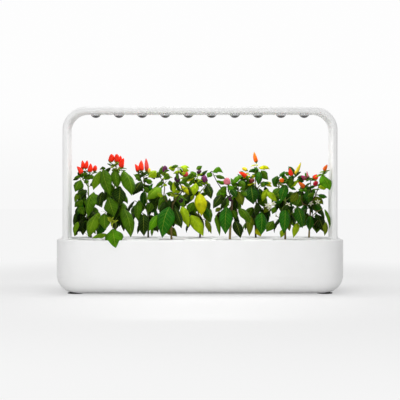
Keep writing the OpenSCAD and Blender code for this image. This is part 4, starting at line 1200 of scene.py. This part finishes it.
def grow_leaves(number, bodies, stems, dice):
    """All leaves and flowers of one plant. Gives back how many single leaves it grew."""
    shape = new_shape()
    points = [vertex.co.copy() for vertex in max(bodies, key=len)]
    leaves = [plain_blade(body) for body in bodies if len(body) == LEAF_POINTS]
    leaves.sort(key=lambda leaf: (-round(leaf.base.z, 4), leaf.base.x))
    # Each leaf's green is partly its own colour and partly painted light and shade.
    for leaf, word in zip(leaves, LEAF_TONES[number].split()):
        tone = paint(GREENS[word])
        grow_blade(shape, leaf, tone, dice)
        grow_rib(stems, leaf, tone)
    shaded = grow_shade(shape, stems, number, points, dice)
    young = grow_crown(shape, stems, number, points, dice)
    home = middle_of_pod(number)
    for *place, word in SPRIGS.get(number, []):
        grow_sprig(shape, stems, home + Vector(place) * MM, points, word, dice, SPRIG_LEAVES, SPRIG_SIZE)
    for body in bodies:
        if len(body) == FRUIT_POINTS:
            under = rings_of(body, FRUIT_SPOKES)[0][0] - Vector((0, 0, FRUIT_SPRIG_BELOW))
            grow_sprig(shape, stems, min(points, key=lambda point: (point - under).length), points,
                       LEAF_TONES[number].split()[0], dice, FRUIT_SPRIG_LEAVES, FRUIT_SPRIG_SIZE)
    finished_piece(f"plant_{number}_leaves", shape, LEAF_SKIN, number, BLADE_THICK)
    if number in FLOWERS:
        petals = new_shape()
        for place in FLOWERS[number]:
            grow_flower(petals, stems, home + Vector(place) * MM, points, dice)
        finished_piece(f"plant_{number}_flowers", petals, PETAL_SKIN, number, BLADE_THICK)
    return len(leaves) + shaded + young


print("a rib is", round(2 * RIB_RADIUS / MM, 2), "mm thick at its thickest")

# %% [markdown]
# ## Fruits and stems of one plant
# Each plain fruit gets its skin and its cup. The stem is melted last and joins the stalks, ribs
# and cups in one piece, with its colour going from woody at the foot to fresh at the top.

# %% Fruits and stems of one plant
CUP_GREEN = "#6f9434"
STEM_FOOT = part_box("deck_lid")[1].z
WOODY_TALL = 0.02
TURNS_FRESH = 0.07


def grow_fruits(number, bodies, stems, dice):
    """The fruits of one plant with their cups. Gives back how many there are."""
    shape = new_shape()
    fruits = [body for body in bodies if len(body) == FRUIT_POINTS]
    fruits.sort(key=lambda body: (round(rings_of(body, FRUIT_SPOKES)[0][0].x, 4),
                                  -rings_of(body, FRUIT_SPOKES)[0][0].z))
    for body, word in zip(fruits, FRUIT_TONES[number].split()):
        base, tip, radius = grow_fruit(shape, body, paint(REDS[word]), dice)
        grow_cup(stems, base, tip, radius, paint(CUP_GREEN))
    finished_piece(f"plant_{number}_fruits", shape, FRUIT_SKIN, number)
    return len(fruits)


def grow_stems(number, bodies, shape):
    """Adds the melted stem to the stalks, ribs and cups, coloured from its foot to its top."""
    stem = max(bodies, key=len)
    mesh = melt(f"stem_{number}", stem)
    known = set(shape.verts)
    shape.from_mesh(mesh)
    bpy.data.meshes.remove(mesh)
    colour = shape.verts.layers.float_color["tone"]
    foot, top = (paint(code) for code in STEM_TONES[number])
    for vertex in shape.verts:
        if vertex not in known:
            rise = min(1.0, max(0.0, (vertex.co.z - STEM_FOOT - WOODY_TALL) / TURNS_FRESH))
            vertex[colour] = [a * (1 - rise) + b * rise for a, b in zip(foot, top)]
    for face in shape.faces:
        face.smooth = True
    finished_piece(f"plant_{number}_stems", shape, STEM_SKIN, number)


print("stems are woody for", round(WOODY_TALL / MM), "mm above the deck")

# %% [markdown]
# ## Grow the plants
# Each plant has its own seed, so one can be changed without changing the others.

# %% Grow the plants
SEED = 40

for number in range(1, 10):
    dice = random.Random(SEED + number)
    source, bodies = bodies_of(f"chili_plant_{number}")
    stems = new_shape()
    leaves = grow_leaves(number, bodies, stems, dice)
    fruits = grow_fruits(number, bodies, stems, dice)
    grow_stems(number, bodies, stems)
    source.free()
    print("plant", number, "has", leaves, "leaves and", fruits, "fruits")

# %% [markdown]
# ## Floor
# The garden stands on a pale floor that runs out into a white room. Near the base the floor is
# mostly matt paint and takes the shadow. Further out it turns into the background's own white
# for the camera, so that no edge shows.

# %% Floor
FLOOR_SIZE = 30
FLOOR_SEGMENTS = 24
FLOOR_PAINT = (0.88, 0.88, 0.88, 1)
FLOOR_GLOW = (0.92, 0.92, 0.92, 1)
FLOOR_LIFT = 0.45
FLOOR_FADE = (0.36, 1.1)


def lay_floor():
    """A matt floor that glows white for the camera, a little near the garden and fully far away."""
    shape = bmesh.new()
    bmesh.ops.create_grid(shape, x_segments=FLOOR_SEGMENTS, y_segments=FLOOR_SEGMENTS, size=FLOOR_SIZE / 2)
    mesh = bpy.data.meshes.new("floor")
    shape.to_mesh(mesh)
    shape.free()
    finish = Finish("floor", {"Base Color": FLOOR_PAINT, "Roughness": 0.9, "Specular IOR Level": 0.1})
    seen = finish.add("LightPath", {}, {}, "Is Camera Ray")
    away = finish.add("VectorMath", {"operation": "LENGTH"}, {0: finish.place()}, "Value")
    glow = finish.add("Emission", {}, {"Color": FLOOR_GLOW})
    share = (away.step(*FLOOR_FADE) * (1 - FLOOR_LIFT) + FLOOR_LIFT) * seen
    matt = Wire(finish, finish.shader.outputs[0])
    both = finish.add("MixShader", {}, {0: share, 1: matt, 2: glow})
    finish.tree.links.new(both.socket, finish.tree.nodes["Material Output"].inputs["Surface"])
    mesh.materials.append(finish.material)
    floor = bpy.data.objects.new("floor", mesh)
    bpy.context.scene.collection.objects.link(floor)


lay_floor()
print("the floor is", FLOOR_SIZE, "m wide")

# %% [markdown]
# ## Room
# The room is white for the camera and in reflections, a shade darker at the horizon, and gives
# a weaker light of its own to everything else.

# %% Room
ROOM_WHITE = (0.94, 0.94, 0.94, 1)
ROOM_TOP = (0.985, 0.985, 0.985, 1)
ROOM_RISE = (0.0, 0.12)
ROOM_LIGHT = 0.52


def light_room():
    """A white world that shines at full strength only where it is seen."""
    world = bpy.data.worlds.new("room")
    bpy.context.scene.world = world
    world.use_nodes = True
    room = Graph(world.node_tree)
    room.tree.nodes.clear()
    kinds = ("Camera", "Glossy", "Transmission")
    seen = sum(room.add("LightPath", {}, {}, f"Is {kind} Ray") for kind in kinds)
    rise = room.part("Z", room.add("TexCoord", {}, {}, "Generated")).step(*ROOM_RISE)
    shown = room.add("Background", {}, {"Color": room.mix(rise, ROOM_WHITE, ROOM_TOP), "Strength": 1.0})
    lit = room.add("Background", {}, {"Color": (1, 1, 1, 1), "Strength": ROOM_LIGHT})
    both = room.add("MixShader", {}, {0: seen.maths("MINIMUM", seen, 1.0), 1: lit, 2: shown})
    output = room.tree.nodes.new("ShaderNodeOutputWorld")
    room.tree.links.new(both.socket, output.inputs["Surface"])


light_room()
print("the room lights at", ROOM_LIGHT)

# %% [markdown]
# ## Lights
# A soft box above eye height and to the left models the leaves and the tank's round ends, a
# second one hangs above, and a card near the table throws light up under the bar. The garden's
# own lamp glows faintly too: it reaches the deck and the arms' inner faces.

# %% Lights
LIGHTS = {
    "front_light": {"at": (-0.42, -1.45, 0.6), "aim": (0, 0, 0.17), "size": (0.4, 0.5), "watts": 4.3},
    "top_light": {"at": (0, -0.05, 1.5), "aim": (0, 0, 0.1), "size": (0.5, 0.7), "watts": 6},
    "grow_light": {"at": (0, 0, 0.373), "aim": (0, 0, 0), "size": (0.4, 0.08), "watts": 0.65},
    "table_light": {"at": (0, -0.5, 0.12), "aim": (0, 0, 0.33), "size": (0.26, 0.14), "watts": 0.2},
}


def hang_light(name, at, aim, size, watts):
    """A rectangle of light, in metres, that the camera doesn't see."""
    data = bpy.data.lights.new(name, "AREA")
    data.shape = "RECTANGLE"
    data.size, data.size_y = size
    data.energy = watts
    light = bpy.data.objects.new(name, data)
    light.visible_camera = False
    light.location = at
    light.rotation_euler = (Vector(aim) - Vector(at)).to_track_quat("-Z", "Y").to_euler()
    bpy.context.scene.collection.objects.link(light)


for name, plan in LIGHTS.items():
    hang_light(name, **plan)
print("lights:", ", ".join(LIGHTS))
